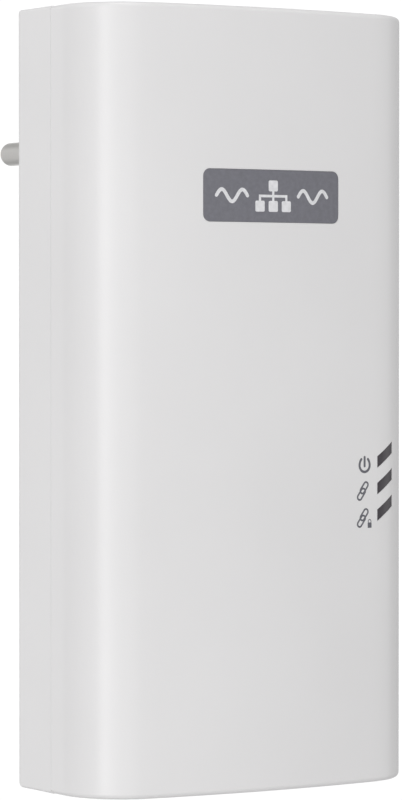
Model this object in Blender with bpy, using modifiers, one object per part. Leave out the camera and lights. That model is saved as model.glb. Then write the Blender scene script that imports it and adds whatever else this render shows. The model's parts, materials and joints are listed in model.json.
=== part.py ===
"""Powerline adapter: a tall two-shell case that hangs on its own earthed wall plug.

Frame: metres, +Z up. The origin is the centre of the plug's face, between the two pins. +Y runs
along the pins into the wall socket, so the bowed front of the case faces -Y.
"""

import math

import bmesh
import bpy
from mathutils import Matrix, Vector

MM = 0.001

# Case, measured from its foremost point, its middle and its top.
CASE_WIDTH = 75 * MM
CASE_HEIGHT = 150 * MM
CASE_DEPTH = 50.1 * MM
SIDE_DEPTH = 31.4 * MM  # the side walls run straight this far back, then taper in
SEAM_DEPTH = 19 * MM  # where the front cover ends and the rear cover starts
FRONT_RADIUS = 192.6 * MM
CORNER_RADIUS = 13.5 * MM
BACK_WIDTH = 52 * MM
TOP_TAPER = 2 * MM
BOTTOM_TAPER = 8 * MM
WALL = 2 * MM
EDGE_ROUND = 1 * MM
LIP_HEIGHT = 1.5 * MM
LIP_INSET = 1.15 * MM
REBATE_INSET = 0.85 * MM

# Earthed two-pin plug.
PLUG_DROP = 25 * MM  # from the top of the case to the plug's middle
BOSS_LENGTH = 17.5 * MM
BOSS_RADIUS = 18.5 * MM
BOSS_FLAT = 17 * MM  # half the boss's width across its two flat sides
GROOVE_WIDTH = 5.4 * MM
GROOVE_DEPTH = 2.3 * MM
EARTH_FLAT = 16 * MM  # height of the two flats that the earth clips lie on
EARTH_WIDTH = 7.4 * MM
PIN_PITCH = 19 * MM
PIN_RADIUS = 2.4 * MM
PIN_LENGTH = 19 * MM

GAP = 0.3 * MM  # between neighbouring pieces

# Planes that the pieces are set out from.
TOP_Z = PLUG_DROP
BOTTOM_Z = TOP_Z - CASE_HEIGHT
MIDDLE_Z = TOP_Z - CASE_HEIGHT / 2
BACK_Y = -BOSS_LENGTH
FRONT_Y = BACK_Y - CASE_DEPTH
TAPER_Y = FRONT_Y + SIDE_DEPTH
SEAM_Y = FRONT_Y + SEAM_DEPTH
FLOOR_Z = BOTTOM_Z + WALL  # inside face of the bottom wall
BACK_INSIDE_Y = BACK_Y - WALL

# The plug base's flange inside the rear cover, and the collars and tails of the pins behind it.
FLANGE_THICKNESS = 2.8 * MM
FLANGE_BACK_Y = BACK_INSIDE_Y - GAP
FLANGE_FRONT_Y = FLANGE_BACK_Y - FLANGE_THICKNESS
COLLAR_Y = FLANGE_FRONT_Y - GAP
COLLAR_THICKNESS = 1.3 * MM
TAIL_END_Y = COLLAR_Y - 4.6 * MM
CLIP_END_Y = BACK_INSIDE_Y - 6.8 * MM

BOARD_THICKNESS = 1.6 * MM
BOARD_FRONT_Y = FRONT_Y + 10 * MM
BOARD_BACK_Y = BOARD_FRONT_Y + BOARD_THICKNESS
BOARD_HALF_WIDTH = 33 * MM
BOARD_MARGIN = 3.5 * MM  # from the case's ends to the board's ends
ON_BOARD_Y = BOARD_BACK_Y + GAP  # where the parts on the board's back start

# Screws: (x, z) of their axes.
CASE_SCREWS = [(x * MM, z * MM) for z in (15.5, -108) for x in (-21.5, 21.5)]
BOARD_SCREWS = [(x * MM, -40 * MM) for x in (-28, 28)]
PLUG_SCREWS = [(x * MM, 0.0) for x in (-21, 21)]
PILLAR_RADIUS = 3.3 * MM
TUBE_RADIUS = 4 * MM
SCREW_SEAT_Y = SEAM_Y + 4.1 * MM
POST_RADIUS = 2.8 * MM

# Indicator windows, as slanted four-sided openings in the front.
WINDOW_X = 28.25 * MM
WINDOW_Z = [-61.0 * MM, -66.2 * MM, -71.4 * MM]
WINDOW_NAMES = ["power", "link", "secure"]
WINDOW_WIDTH = 4.5 * MM
WINDOW_HEIGHT = 2.3 * MM
WINDOW_RISE = 2.8 * MM

# Network port and the two push buttons in the bottom wall.
PORT_X = -8 * MM
PORT_WIDTH = 16 * MM
PORT_DEPTH = 13.5 * MM
PORT_LENGTH = 18 * MM
PORT_RECESS = 0.3 * MM
PORT_MOUTH = [(5.9, -44.4), (5.9, -51.2), (3.1, -51.2), (3.1, -53.0), (1.8, -53.0), (1.8, -54.2)]
CONTACTS = 8
CONTACT_PITCH = 1.02 * MM
PAIR_X = 9.5 * MM
PAIR_Y = FRONT_Y + 15.3 * MM
PAIR_TRAVEL = 0.5 * MM
BUTTON_RADIUS = 2.5 * MM
RESET_X = 28.2 * MM
RESET_Y = FRONT_Y + 14.4 * MM
RESET_TRAVEL = 0.3 * MM
PINHOLE_RADIUS = 1.1 * MM

# Vent slots in the two tapered sides, and the rating label on the back.
VENT_COUNT = 13
VENT_PITCH = 5 * MM
VENT_TOP_Z = -38 * MM
VENT_SIZE = (12 * MM, 1.6 * MM)
LABEL_SIZE = (36 * MM, 44 * MM)
LABEL_Z = -72 * MM

ROUND_STEPS = 24
SCREW_STEPS = 14

# Rotations that lay a flat outline (x, y) in the named plane.
PLANES = {
    "XY": Matrix.Identity(4),
    "XZ": Matrix.Rotation(math.radians(90), 4, "X"),
    "YZ": Matrix(((0, 0, 1, 0), (1, 0, 0, 0), (0, 1, 0, 0), (0, 0, 0, 1))),
    "ZX": Matrix(((0, 1, 0, 0), (0, 0, 1, 0), (1, 0, 0, 0), (0, 0, 0, 1))),
}
# Rotations that turn a shape's own Z axis to the named axis.
AXES = {
    "Y": Matrix.Rotation(math.radians(-90), 4, "X"),
    "-Y": Matrix.Rotation(math.radians(90), 4, "X"),
    "Z": Matrix.Identity(4),
    "-Z": Matrix.Rotation(math.radians(180), 4, "X"),
}


# ---------------------------------------------------------------- scene and materials


def clear_scene():
    for obj in list(bpy.data.objects):
        bpy.data.objects.remove(obj)


def new_collection(name):
    collection = bpy.data.collections.new(name)
    bpy.context.scene.collection.children.link(collection)
    return collection


def make_material(name, colour, roughness, metallic=0.0):
    material = bpy.data.materials.new(name)
    material.use_nodes = True
    shader = material.node_tree.nodes["Principled BSDF"]
    shader.inputs["Base Color"].default_value = (*colour, 1.0)
    shader.inputs["Roughness"].default_value = roughness
    shader.inputs["Metallic"].default_value = metallic
    return material


def make_materials():
    return {
        "case_white": make_material("case_white", (0.80, 0.80, 0.81), 0.38),
        "plug_grey": make_material("plug_grey", (0.62, 0.62, 0.63), 0.45),
        "lens_smoke": make_material("lens_smoke", (0.05, 0.045, 0.05), 0.15),
        "pin_nickel": make_material("pin_nickel", (0.66, 0.64, 0.60), 0.28, 1.0),
        "steel": make_material("steel", (0.55, 0.55, 0.56), 0.35, 1.0),
        "aluminium": make_material("aluminium", (0.75, 0.76, 0.77), 0.4, 1.0),
        "copper": make_material("copper", (0.72, 0.38, 0.2), 0.35, 1.0),
        "black_plastic": make_material("black_plastic", (0.03, 0.03, 0.032), 0.45),
        "board_green": make_material("board_green", (0.02, 0.16, 0.07), 0.4),
        "ferrite": make_material("ferrite", (0.07, 0.07, 0.075), 0.6),
        "tape_yellow": make_material("tape_yellow", (0.85, 0.62, 0.06), 0.4),
        "part_blue": make_material("part_blue", (0.05, 0.16, 0.5), 0.35),
        "wire_brown": make_material("wire_brown", (0.2, 0.08, 0.03), 0.4),
        "wire_green": make_material("wire_green", (0.3, 0.5, 0.05), 0.4),
        "chip_black": make_material("chip_black", (0.025, 0.025, 0.028), 0.6),
        "label_white": make_material("label_white", (0.82, 0.82, 0.8), 0.55),
        "light_body": make_material("light_body", (0.9, 0.88, 0.7), 0.3),
        "sheet_cream": make_material("sheet_cream", (0.8, 0.74, 0.55), 0.6),
    }


clear_scene()
PIECES = new_collection("powerline_adapter")
CUTTERS = new_collection("cutters")
MATERIALS = make_materials()


# ---------------------------------------------------------------- making shapes


def add_object(name, mesh, matrix, material=None):
    """Links the mesh as a piece if it has a material, and as a helper if it has none."""
    obj = bpy.data.objects.new(name, mesh)
    obj.matrix_world = matrix
    if material:
        PIECES.objects.link(obj)
        mesh.materials.append(MATERIALS[material])
        mesh.shade_smooth()
        mesh.set_sharp_from_angle(angle=math.radians(35))
    else:
        CUTTERS.objects.link(obj)
        obj.hide_render = True
        obj.display_type = "WIRE"
    return obj


def mesh_of(bm, name):
    mesh = bpy.data.meshes.new(name)
    bm.to_mesh(mesh)
    bm.free()
    return mesh


def placed(centre, rotation):
    return Matrix.Translation(Vector(centre)) @ rotation


def box(name, size, centre, material=None, turn=0.0):
    """A block, turned about Z by an angle in radians."""
    bm = bmesh.new()
    bmesh.ops.create_cube(bm, size=1.0, matrix=Matrix.Diagonal((*size, 1.0)))
    rotation = Matrix.Rotation(turn, 4, "Z")
    return add_object(name, mesh_of(bm, name), placed(centre, rotation), material)


def block(name, low, high, material=None):
    """A block between two opposite corners."""
    low, high = Vector(low), Vector(high)
    return box(name, high - low, (low + high) / 2, material)


def cylinder(name, radius, start, axis, length, material=None, steps=ROUND_STEPS, tip=None):
    """A round bar that starts at a point and runs along the named axis."""
    bm = bmesh.new()
    bmesh.ops.create_cone(
        bm,
        cap_ends=True,
        segments=steps,
        radius1=radius,
        radius2=radius if tip is None else tip,
        depth=length,
        matrix=Matrix.Translation((0, 0, length / 2)),
    )
    return add_object(name, mesh_of(bm, name), placed(start, AXES[axis]), material)


def turned(name, profile, start, axis, material, steps=ROUND_STEPS):
    """A turned shape from (radius, height) points, listed from its top down to its base."""
    bm = bmesh.new()
    points = [bm.verts.new((radius, 0, height)) for radius, height in profile]
    for first, second in zip(points, points[1:]):
        bm.edges.new((first, second))
    obj = add_object(name, mesh_of(bm, name), placed(start, AXES[axis]), material)
    screw = obj.modifiers.new("turn", "SCREW")
    screw.steps = screw.render_steps = steps
    screw.use_merge_vertices = True
    screw.merge_threshold = 0.00001
    return obj


def prism(name, outline, thickness, centre, plane, material=None):
    """A flat outline with this thickness, centred on its plane."""
    bm = bmesh.new()
    face = bm.faces.new([bm.verts.new((x, y, -thickness / 2)) for x, y in outline])
    grown = bmesh.ops.extrude_face_region(bm, geom=[face])["geom"]
    raised = [item for item in grown if isinstance(item, bmesh.types.BMVert)]
    bmesh.ops.translate(bm, verts=raised, vec=(0, 0, thickness))
    bmesh.ops.recalc_face_normals(bm, faces=bm.faces)
    return add_object(name, mesh_of(bm, name), placed(centre, PLANES[plane]), material)


def welded_curve(name, curve):
    """The curve's surface, with its caps welded on."""
    drawn = bpy.data.objects.new(name, curve)
    CUTTERS.objects.link(drawn)
    graph = bpy.context.evaluated_depsgraph_get()
    mesh = bpy.data.meshes.new_from_object(drawn.evaluated_get(graph))
    bpy.data.objects.remove(drawn)
    bm = bmesh.new()
    bm.from_mesh(mesh)
    bmesh.ops.remove_doubles(bm, verts=bm.verts, dist=0.000001)
    bmesh.ops.recalc_face_normals(bm, faces=bm.faces)
    return bm


def tube(name, route, radius, material):
    """A wire along a smooth curve through the points of its route."""
    curve = bpy.data.curves.new(name, "CURVE")
    curve.dimensions = "3D"
    curve.bevel_depth = radius
    curve.bevel_resolution = 2
    curve.use_fill_caps = True
    points = smooth_route(route)
    spline = curve.splines.new("POLY")
    spline.points.add(len(points) - 1)
    for point, place in zip(spline.points, points):
        point.co = (*place, 1)
    obj = bpy.data.objects.new(name, curve)
    obj.data.materials.append(MATERIALS[material])
    PIECES.objects.link(obj)
    return obj


def smooth_route(route, steps=4):
    """Points on the Catmull-Rom curve through the route's points."""
    route = [Vector(place) for place in route]
    ends = [2 * route[0] - route[1], *route, 2 * route[-1] - route[-2]]
    points = []
    for before, start, stop, after in zip(ends, ends[1:], ends[2:], ends[3:]):
        for step in range(steps):
            t = step / steps
            points.append(
                0.5
                * (
                    2 * start
                    + (stop - before) * t
                    + (2 * before - 5 * start + 4 * stop - after) * t**2
                    + (3 * start - before - 3 * stop + after) * t**3
                )
            )
    return [*points, route[-1]]


def combine(obj, other, operation):
    modifier = obj.modifiers.new(operation.lower(), "BOOLEAN")
    modifier.operation = operation
    modifier.object = other
    return obj


def cut(obj, *cutters):
    """Takes all the cutters out of the object in one step."""
    group = bpy.data.collections.new(f"cutters_of_{obj.name}")
    CUTTERS.children.link(group)
    for cutter in cutters:
        CUTTERS.objects.unlink(cutter)
        group.objects.link(cutter)
    modifier = obj.modifiers.new("difference", "BOOLEAN")
    modifier.operation = "DIFFERENCE"
    modifier.operand_type = "COLLECTION"
    modifier.collection = group
    return obj


def join(obj, *others):
    for other in others:
        combine(obj, other, "UNION")
    return obj


def bevel(obj, width, segments=1, angle=40):
    """Rounds every edge that is sharper than the angle, in degrees."""
    modifier = obj.modifiers.new("edges", "BEVEL")
    modifier.width = width
    modifier.segments = segments
    modifier.limit_method = "ANGLE"
    modifier.angle_limit = math.radians(angle)
    return obj


def round_edges(obj, width, segments, chosen):
    """Rounds the mesh's own edges that the test picks, given their two ends."""
    bm = bmesh.new()
    bm.from_mesh(obj.data)
    sharp = [e for e in bm.edges if e.calc_face_angle(0) > math.radians(20)]
    picked = [e for e in sharp if chosen(*(v.co for v in e.verts))]
    bmesh.ops.bevel(
        bm, geom=picked, offset=width, segments=segments, profile=0.5, affect="EDGES"
    )
    bm.to_mesh(obj.data)
    bm.free()
    obj.data.shade_smooth()
    obj.data.set_sharp_from_angle(angle=math.radians(35))


# ---------------------------------------------------------------- outlines


def arc(centre, radius, first, last, steps):
    """Points on an arc between two angles, in degrees."""
    angles = [math.radians(first + (last - first) * i / steps) for i in range(steps + 1)]
    return [
        (centre[0] + radius * math.cos(a), centre[1] + radius * math.sin(a)) for a in angles
    ]


def front_outline(inset, back_y, corner_steps=9, front_steps=14):
    """The case seen from above: a bowed front, round corners, straight sides to back_y."""
    bow_y = FRONT_Y + FRONT_RADIUS
    corner_x = CASE_WIDTH / 2 - CORNER_RADIUS
    corner_y = bow_y - math.sqrt((FRONT_RADIUS - CORNER_RADIUS) ** 2 - corner_x**2)
    lean = math.degrees(math.asin(corner_x / (FRONT_RADIUS - CORNER_RADIUS)))
    left = arc((-corner_x, corner_y), CORNER_RADIUS - inset, 180, 270 - lean, corner_steps)
    front = arc((0, bow_y), FRONT_RADIUS - inset, 270 - lean, 270 + lean, front_steps)
    right = arc((corner_x, corner_y), CORNER_RADIUS - inset, 270 + lean, 360, corner_steps)
    half = CASE_WIDTH / 2 - inset
    return [(-half, back_y), *left, *front[1:-1], *right, (half, back_y)]


def rear_outline(inset, front_y):
    """The rear cover seen from above: straight sides from front_y, then a taper to the back."""
    run, rise = (CASE_WIDTH - BACK_WIDTH) / 2, BACK_Y - TAPER_Y
    length = math.hypot(run, rise)
    half = CASE_WIDTH / 2 - inset
    taper_y = TAPER_Y - inset * (length - rise) / run
    back_half = BACK_WIDTH / 2 - inset * (length - run) / rise
    back_y = BACK_Y - inset
    right = [(half, front_y), (half, taper_y), (back_half, back_y)]
    return [*right, *((-x, y) for x, y in reversed(right))]


def boss_outline(grow, grooves):
    """The plug's face: a circle with two flat sides, with or without its grooves and flats."""
    radius, flat = BOSS_RADIUS + grow, BOSS_FLAT + grow
    turn = math.degrees(math.acos(flat / radius))
    top = arc((0, 0), radius, turn, 180 - turn, 20)
    if not grooves:
        return [*top, *((-x, -y) for x, y in top)]
    half, depth = GROOVE_WIDTH / 2, flat - GROOVE_DEPTH
    clip = EARTH_WIDTH / 2
    right = [(x, y) for x, y in top if x > clip + 1.2 * MM]
    edge = math.sqrt(radius**2 - clip**2)
    side = [(depth, 0.0), (depth, half), (flat, half), *right, (clip, edge), (clip, EARTH_FLAT)]
    upper = [*side, *((-x, y) for x, y in reversed(side[1:]))]
    return [*upper, *((-x, -y) for x, y in upper)]


def window_outline(z, grow=0.0):
    """A slanted indicator window: upright sides, and ends that climb to the right."""
    half, rise = WINDOW_WIDTH / 2 + grow, WINDOW_RISE / 2 * (1 + 2 * grow / WINDOW_WIDTH)
    tall = WINDOW_HEIGHT / 2 + grow * math.hypot(1, WINDOW_RISE / WINDOW_WIDTH)
    return [
        (WINDOW_X - half, z - rise - tall),
        (WINDOW_X + half, z + rise - tall),
        (WINDOW_X + half, z + rise + tall),
        (WINDOW_X - half, z - rise + tall),
    ]


def comb_outline(width, base, height, fins, fin_width):
    """A heat sink's end view: a base plate with upright fins."""
    pitch = (width - fin_width) / (fins - 1)
    points = [(-width / 2, 0)]
    for fin in range(fins):
        left = -width / 2 + fin * pitch
        points += [(left, base), (left, height)]
        points += [(left + fin_width, height), (left + fin_width, base)]
    points.append((width / 2, 0))
    # The outermost fins stand on the plate's own ends, so those two corners are left out.
    return [points[0], *points[2:-2], points[-1]]


def strip_outline(line, thickness):
    """The outline of a bent strip along a line of points, given its thickness."""
    line = [Vector(place) for place in line]
    sides = []
    for i, place in enumerate(line):
        before = (place - line[i - 1]).normalized() if i else None
        after = (line[i + 1] - place).normalized() if i < len(line) - 1 else before
        before = before or after
        bisector = (before + after).normalized()
        normal = Vector((-bisector.y, bisector.x))
        reach = thickness / 2 / normal.dot(Vector((-after.y, after.x)))
        sides.append((place + normal * reach, place - normal * reach))
    return [tuple(a) for a, _ in sides] + [tuple(b) for _, b in reversed(sides)]


# ---------------------------------------------------------------- case


def make_front_cover():
    middle = (0, 0, MIDDLE_Z)
    outline = front_outline(0, SEAM_Y)
    cover = prism("front_cover", outline, CASE_HEIGHT, middle, "XY", "case_white")
    round_edges(
        cover,
        EDGE_ROUND,
        3,
        lambda a, b: abs(a.z - b.z) < MM and min(a.y, b.y) < SEAM_Y - MM,
    )
    lip = prism(
        "cutter_front_lip",
        front_outline(LIP_INSET, SEAM_Y + LIP_HEIGHT),
        CASE_HEIGHT - 2 * LIP_INSET,
        middle,
        "XY",
    )
    hollow = prism(
        "cutter_front_hollow",
        front_outline(WALL, SEAM_Y + 2 * LIP_HEIGHT),
        CASE_HEIGHT - 2 * WALL,
        middle,
        "XY",
    )
    solids, holes = [], []
    for i, (x, z) in enumerate(CASE_SCREWS):
        top_y = SCREW_SEAT_Y - 2.8 * MM
        solids.append(cylinder(f"cutter_pillar_{i}", PILLAR_RADIUS, (x, top_y, z), "-Y", 20 * MM))
        start = (x, top_y - 11 * MM, z)
        holes.append(cylinder(f"cutter_pilot_{i}", 1.7 * MM, start, "Y", 12 * MM))
    for i, (x, z) in enumerate(BOARD_SCREWS):
        top_y = BOARD_FRONT_Y - GAP
        solids.append(cylinder(f"cutter_post_{i}", POST_RADIUS, (x, top_y, z), "-Y", 12 * MM))
        start = (x, top_y - 4.6 * MM, z)
        holes.append(cylinder(f"cutter_post_pilot_{i}", 1.5 * MM, start, "Y", 6 * MM))
    cut(hollow, *solids)
    for name, z in zip(WINDOW_NAMES, WINDOW_Z):
        centre = (0, FRONT_Y + 3 * MM, 0)
        holes.append(prism(f"cutter_window_{name}", window_outline(z), 9 * MM, centre, "XZ"))
    below = BOTTOM_Z - MM
    pair = (PAIR_X, PAIR_Y, below)
    reset = (RESET_X, RESET_Y, below)
    holes.append(cylinder("cutter_pair", BUTTON_RADIUS + GAP, pair, "Z", 3.5 * MM))
    holes.append(cylinder("cutter_reset", PINHOLE_RADIUS, reset, "Z", 3.5 * MM))
    cut(join(cover, lip), hollow, port_hole("front"), *holes)


def tapered_block(name, inset, front_y, material=None):
    """The rear cover's form, whose two ends are chopped off at a slope towards the back."""
    height = CASE_HEIGHT - 2 * inset
    form = prism(name, rear_outline(inset, front_y), height, (0, 0, MIDDLE_Z), "XY", material)
    bm = bmesh.new()
    bm.from_mesh(form.data)
    for side, drop in ((1, TOP_TAPER), (-1, BOTTOM_TAPER)):
        normal = Vector((0, drop, side * (BACK_Y - TAPER_Y))).normalized()
        crease = Vector((0, TAPER_Y, side * CASE_HEIGHT / 2))
        chop = bmesh.ops.bisect_plane(
            bm,
            geom=[*bm.verts, *bm.edges, *bm.faces],
            dist=0.0000001,
            plane_co=crease - inset * normal,
            plane_no=normal,
            clear_outer=True,
        )
        rim = [item for item in chop["geom_cut"] if isinstance(item, bmesh.types.BMEdge)]
        bmesh.ops.holes_fill(bm, edges=rim)
    bmesh.ops.recalc_face_normals(bm, faces=bm.faces)
    bm.to_mesh(form.data)
    bm.free()
    return form


def make_rear_cover():
    seam_y = SEAM_Y + GAP
    cover = tapered_block("rear_cover", 0, seam_y, "case_white")
    round_edges(cover, EDGE_ROUND, 3, is_rear_edge)
    hollow = tapered_block("cutter_rear_hollow", WALL, seam_y - MM)
    tube_end_y = SCREW_SEAT_Y - 2.4 * MM
    solids = []
    for i, (x, z) in enumerate(CASE_SCREWS):
        length = BACK_Y - tube_end_y
        solids.append(cylinder(f"cutter_tube_{i}", TUBE_RADIUS, (x, BACK_Y, z), "-Y", length))
    for i, (x, z) in enumerate(PLUG_SCREWS):
        solids.append(cylinder(f"cutter_plug_post_{i}", 2.1 * MM, (x, BACK_Y, z), "-Y", 5 * MM))
    cut(hollow, *solids)
    rebate = prism(
        "cutter_rebate",
        front_outline(REBATE_INSET, SEAM_Y + LIP_HEIGHT + GAP),
        CASE_HEIGHT - 2 * REBATE_INSET,
        (0, 0, MIDDLE_Z),
        "XY",
    )
    holes = []
    for i, (x, z) in enumerate(CASE_SCREWS):
        holes.append(cylinder(f"cutter_bore_{i}", 3 * MM, (x, SCREW_SEAT_Y, z), "Y", 30 * MM))
        start = (x, tube_end_y - MM, z)
        holes.append(cylinder(f"cutter_hole_{i}", 1.7 * MM, start, "Y", 6 * MM))
    for i, (x, z) in enumerate(PLUG_SCREWS):
        start = (x, BACK_Y - 1.2 * MM, z)
        holes.append(cylinder(f"cutter_plug_pilot_{i}", 1.2 * MM, start, "-Y", 6 * MM))
    opening = prism("cutter_boss_hole", boss_outline(GAP, False), 6 * MM, (0, BACK_Y, 0), "XZ")
    label = box(
        "cutter_label",
        (LABEL_SIZE[0] + 2 * GAP, 1.1 * MM, LABEL_SIZE[1] + 2 * GAP),
        (0, BACK_Y, LABEL_Z),
    )
    cut(cover, hollow, rebate, opening, label, port_hole("rear"), *holes, *vents())


def is_rear_edge(a, b):
    """True for the outer edges of the rear cover that are rounded."""
    low_y, high_y = min(a.y, b.y), max(a.y, b.y)
    upright = abs(a.z - b.z) > 50 * MM
    at_seam = high_y < SEAM_Y + MM
    return not at_seam and (low_y > TAPER_Y + MM or not upright)


def vents():
    """Slots through the two tapered sides, each square to the wall."""
    run, rise = (CASE_WIDTH - BACK_WIDTH) / 2, BACK_Y - TAPER_Y
    lean = math.atan2(run, rise)
    slots = []
    for side in (-1, 1):
        for row in range(VENT_COUNT):
            middle = side * (CASE_WIDTH + BACK_WIDTH) / 4, (BACK_Y + TAPER_Y) / 2
            centre = (*middle, VENT_TOP_Z - row * VENT_PITCH)
            size = (6 * MM, VENT_SIZE[0], VENT_SIZE[1])
            slots.append(box(f"cutter_vent_{side}_{row}", size, centre, turn=side * lean))
    return slots


def make_label():
    low = (-LABEL_SIZE[0] / 2, BACK_Y - 0.25 * MM, LABEL_Z - LABEL_SIZE[1] / 2)
    high = (LABEL_SIZE[0] / 2, BACK_Y - 0.05 * MM, LABEL_Z + LABEL_SIZE[1] / 2)
    block("rating_label", low, high, "label_white")


# ---------------------------------------------------------------- plug


def make_plug_base():
    """The plug's round boss, with a flange and two ears inside the case."""
    inner_y, flange_y = FLANGE_FRONT_Y, FLANGE_BACK_Y
    middle = (0, inner_y / 2, 0)
    base = prism("plug_base", boss_outline(0, True), -inner_y, middle, "XZ", "plug_grey")
    round_edges(base, 0.9 * MM, 2, lambda a, b: max(a.z, b.z) < inner_y / 2 + 0.01 * MM)
    start = (0, inner_y, 0)
    flange = cylinder("cutter_flange", 20.5 * MM, start, "Y", FLANGE_THICKNESS, steps=40)
    ears = block("cutter_ears", (-24.4 * MM, inner_y, -4.2 * MM), (24.4 * MM, flange_y, 4.2 * MM))
    join(base, join(flange, ears))
    for side in (-1, 1):
        x = side * PIN_PITCH / 2
        ear_x = side * PLUG_SCREWS[1][0]
        z = side * EARTH_FLAT
        clip_low = (-EARTH_WIDTH / 2, inner_y - MM, min(z, z + side * 8 * MM))
        clip_high = (EARTH_WIDTH / 2, flange_y + MM, max(z, z + side * 8 * MM))
        pocket_z = side * 9.5 * MM
        pocket_low = (-8 * MM, inner_y - MM, pocket_z - 3.5 * MM)
        pocket_high = (8 * MM, -4 * MM, pocket_z + 3.5 * MM)
        cut(
            base,
            cylinder(f"cutter_pin_{side}", PIN_RADIUS + GAP, (x, inner_y - MM, 0), "Y", 30 * MM),
            cylinder(f"cutter_ear_{side}", 2.4 * MM, (ear_x, inner_y - MM, 0), "Y", 6 * MM),
            block(f"cutter_clip_{side}", clip_low, clip_high),
            block(f"cutter_pocket_{side}", pocket_low, pocket_high),
        )


def make_pins():
    """Solid round pins with domed tips, a collar inside the case and a solder tail."""
    dome = [
        (PIN_RADIUS * math.sin(a), PIN_LENGTH - 1.6 * MM * (1 - math.cos(a)))
        for a in (math.radians(15 * i) for i in range(7))
    ]
    profile = [
        *dome,
        (PIN_RADIUS, COLLAR_Y),
        (3.6 * MM, COLLAR_Y),
        (3.6 * MM, COLLAR_Y - COLLAR_THICKNESS),
        (1.1 * MM, COLLAR_Y - COLLAR_THICKNESS),
        (1.1 * MM, TAIL_END_Y),
        (0, TAIL_END_Y),
    ]
    for name, side in (("live_pin", -1), ("neutral_pin", 1)):
        turned(name, profile, (side * PIN_PITCH / 2, 0, 0), "Y", "pin_nickel")


def make_earth_parts():
    """Two spring clips on the boss, joined inside by a bridge."""
    low, high = EARTH_FLAT + 0.75 * MM, EARTH_FLAT + 1.5 * MM
    line = [
        (-0.9 * MM, low),
        (-4 * MM, high),
        (-10 * MM, high),
        (-14 * MM, low),
        (CLIP_END_Y, low),
        (CLIP_END_Y, 11.5 * MM),
    ]
    strip = 0.8 * MM
    for name, side in (("earth_clip_top", 1), ("earth_clip_bottom", -1)):
        mirrored = [(y, side * z) for y, z in line]
        outline = strip_outline(mirrored, strip)
        prism(name, outline, 6.4 * MM, (0, 0, 0), "YZ", "steel")
    bridge_y = CLIP_END_Y - strip / 2 - GAP
    bridge = block(
        "earth_bridge",
        (-3.2 * MM, bridge_y - strip, -16 * MM),
        (3.2 * MM, bridge_y, 16 * MM),
        "steel",
    )
    bevel(bridge, 0.2 * MM)


def make_screw(name, place, axis, head, shank, length, material="steel"):
    """A pan-head screw with a cross slot. The place is under its head, and the axis its tip's."""
    profile = [
        (0, 0.75 * head),
        (0.55 * head, 0.7 * head),
        (0.9 * head, 0.45 * head),
        (head, 0.15 * head),
        (head, 0),
        (shank, 0),
        (shank, -length + 1.5 * shank),
        (0.25 * shank, -length),
        (0, -length),
    ]
    opposite = axis[1:] if axis.startswith("-") else "-" + axis
    screw = turned(name, profile, place, opposite, material, SCREW_STEPS)
    for i, wide in enumerate(((0.9, 0.2), (0.2, 0.9))):
        size = (wide[0] * head, wide[1] * head, 0.6 * head)
        slot = box(f"cutter_{name}_{i}", size, (0, 0, 0))
        slot.matrix_world = placed(place, AXES[opposite]) @ Matrix.Translation((0, 0, 0.7 * head))
        cut(screw, slot)


def make_screws():
    for i, (x, z) in enumerate(CASE_SCREWS, 1):
        make_screw(f"case_screw_{i}", (x, SCREW_SEAT_Y + GAP, z), "-Y", 2.6 * MM, 1.35 * MM, 12 * MM)
    for i, (x, z) in enumerate(BOARD_SCREWS, 1):
        make_screw(f"board_screw_{i}", (x, ON_BOARD_Y, z), "-Y", 2.4 * MM, 1.15 * MM, 6 * MM)
    for i, (x, z) in enumerate(PLUG_SCREWS, 1):
        make_screw(f"plug_screw_{i}", (x, COLLAR_Y, z), "Y", 2.9 * MM, 0.85 * MM, 3.4 * MM)


# ---------------------------------------------------------------- indicators and board


def make_indicators():
    """Three smoked lenses that fill the windows, each over its own light, in one dark shroud."""
    shroud_low = (WINDOW_X - 3.6 * MM, BOARD_FRONT_Y - 2.5 * MM, WINDOW_Z[-1] - 3.7 * MM)
    shroud_high = (WINDOW_X + 3.4 * MM, BOARD_FRONT_Y - GAP, WINDOW_Z[0] + 3.7 * MM)
    shroud = block("led_shroud", shroud_low, shroud_high, "black_plastic")
    skin = prism(
        "cutter_lens_face",
        front_outline(0.12 * MM, SEAM_Y),
        CASE_HEIGHT,
        (0, 0, MIDDLE_Z),
        "XY",
    )
    for name, z in zip(WINDOW_NAMES, WINDOW_Z):
        tail_y = BOARD_FRONT_Y - 1.8 * MM
        front_y = FRONT_Y + 0.5 * MM
        lens = prism(
            f"lens_{name}",
            window_outline(z, -0.2 * MM),
            tail_y - front_y,
            (0, (tail_y + front_y) / 2, 0),
            "XZ",
            "lens_smoke",
        )
        flange = prism(
            f"cutter_lens_flange_{name}",
            window_outline(z, 0.5 * MM),
            0.8 * MM,
            (0, BOARD_FRONT_Y - 3.4 * MM, 0),
            "XZ",
        )
        combine(lens, skin, "INTERSECT")
        join(lens, flange)
        well = prism(
            f"cutter_well_{name}",
            window_outline(z, GAP),
            6 * MM,
            (0, BOARD_FRONT_Y - 2 * MM, 0),
            "XZ",
        )
        cut(shroud, well)
        light = box(
            f"led_{name}",
            (1.6 * MM, 0.8 * MM, 0.8 * MM),
            (WINDOW_X, BOARD_FRONT_Y - GAP - 0.4 * MM, z),
            "light_body",
        )
        bevel(light, 0.1 * MM)


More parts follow.
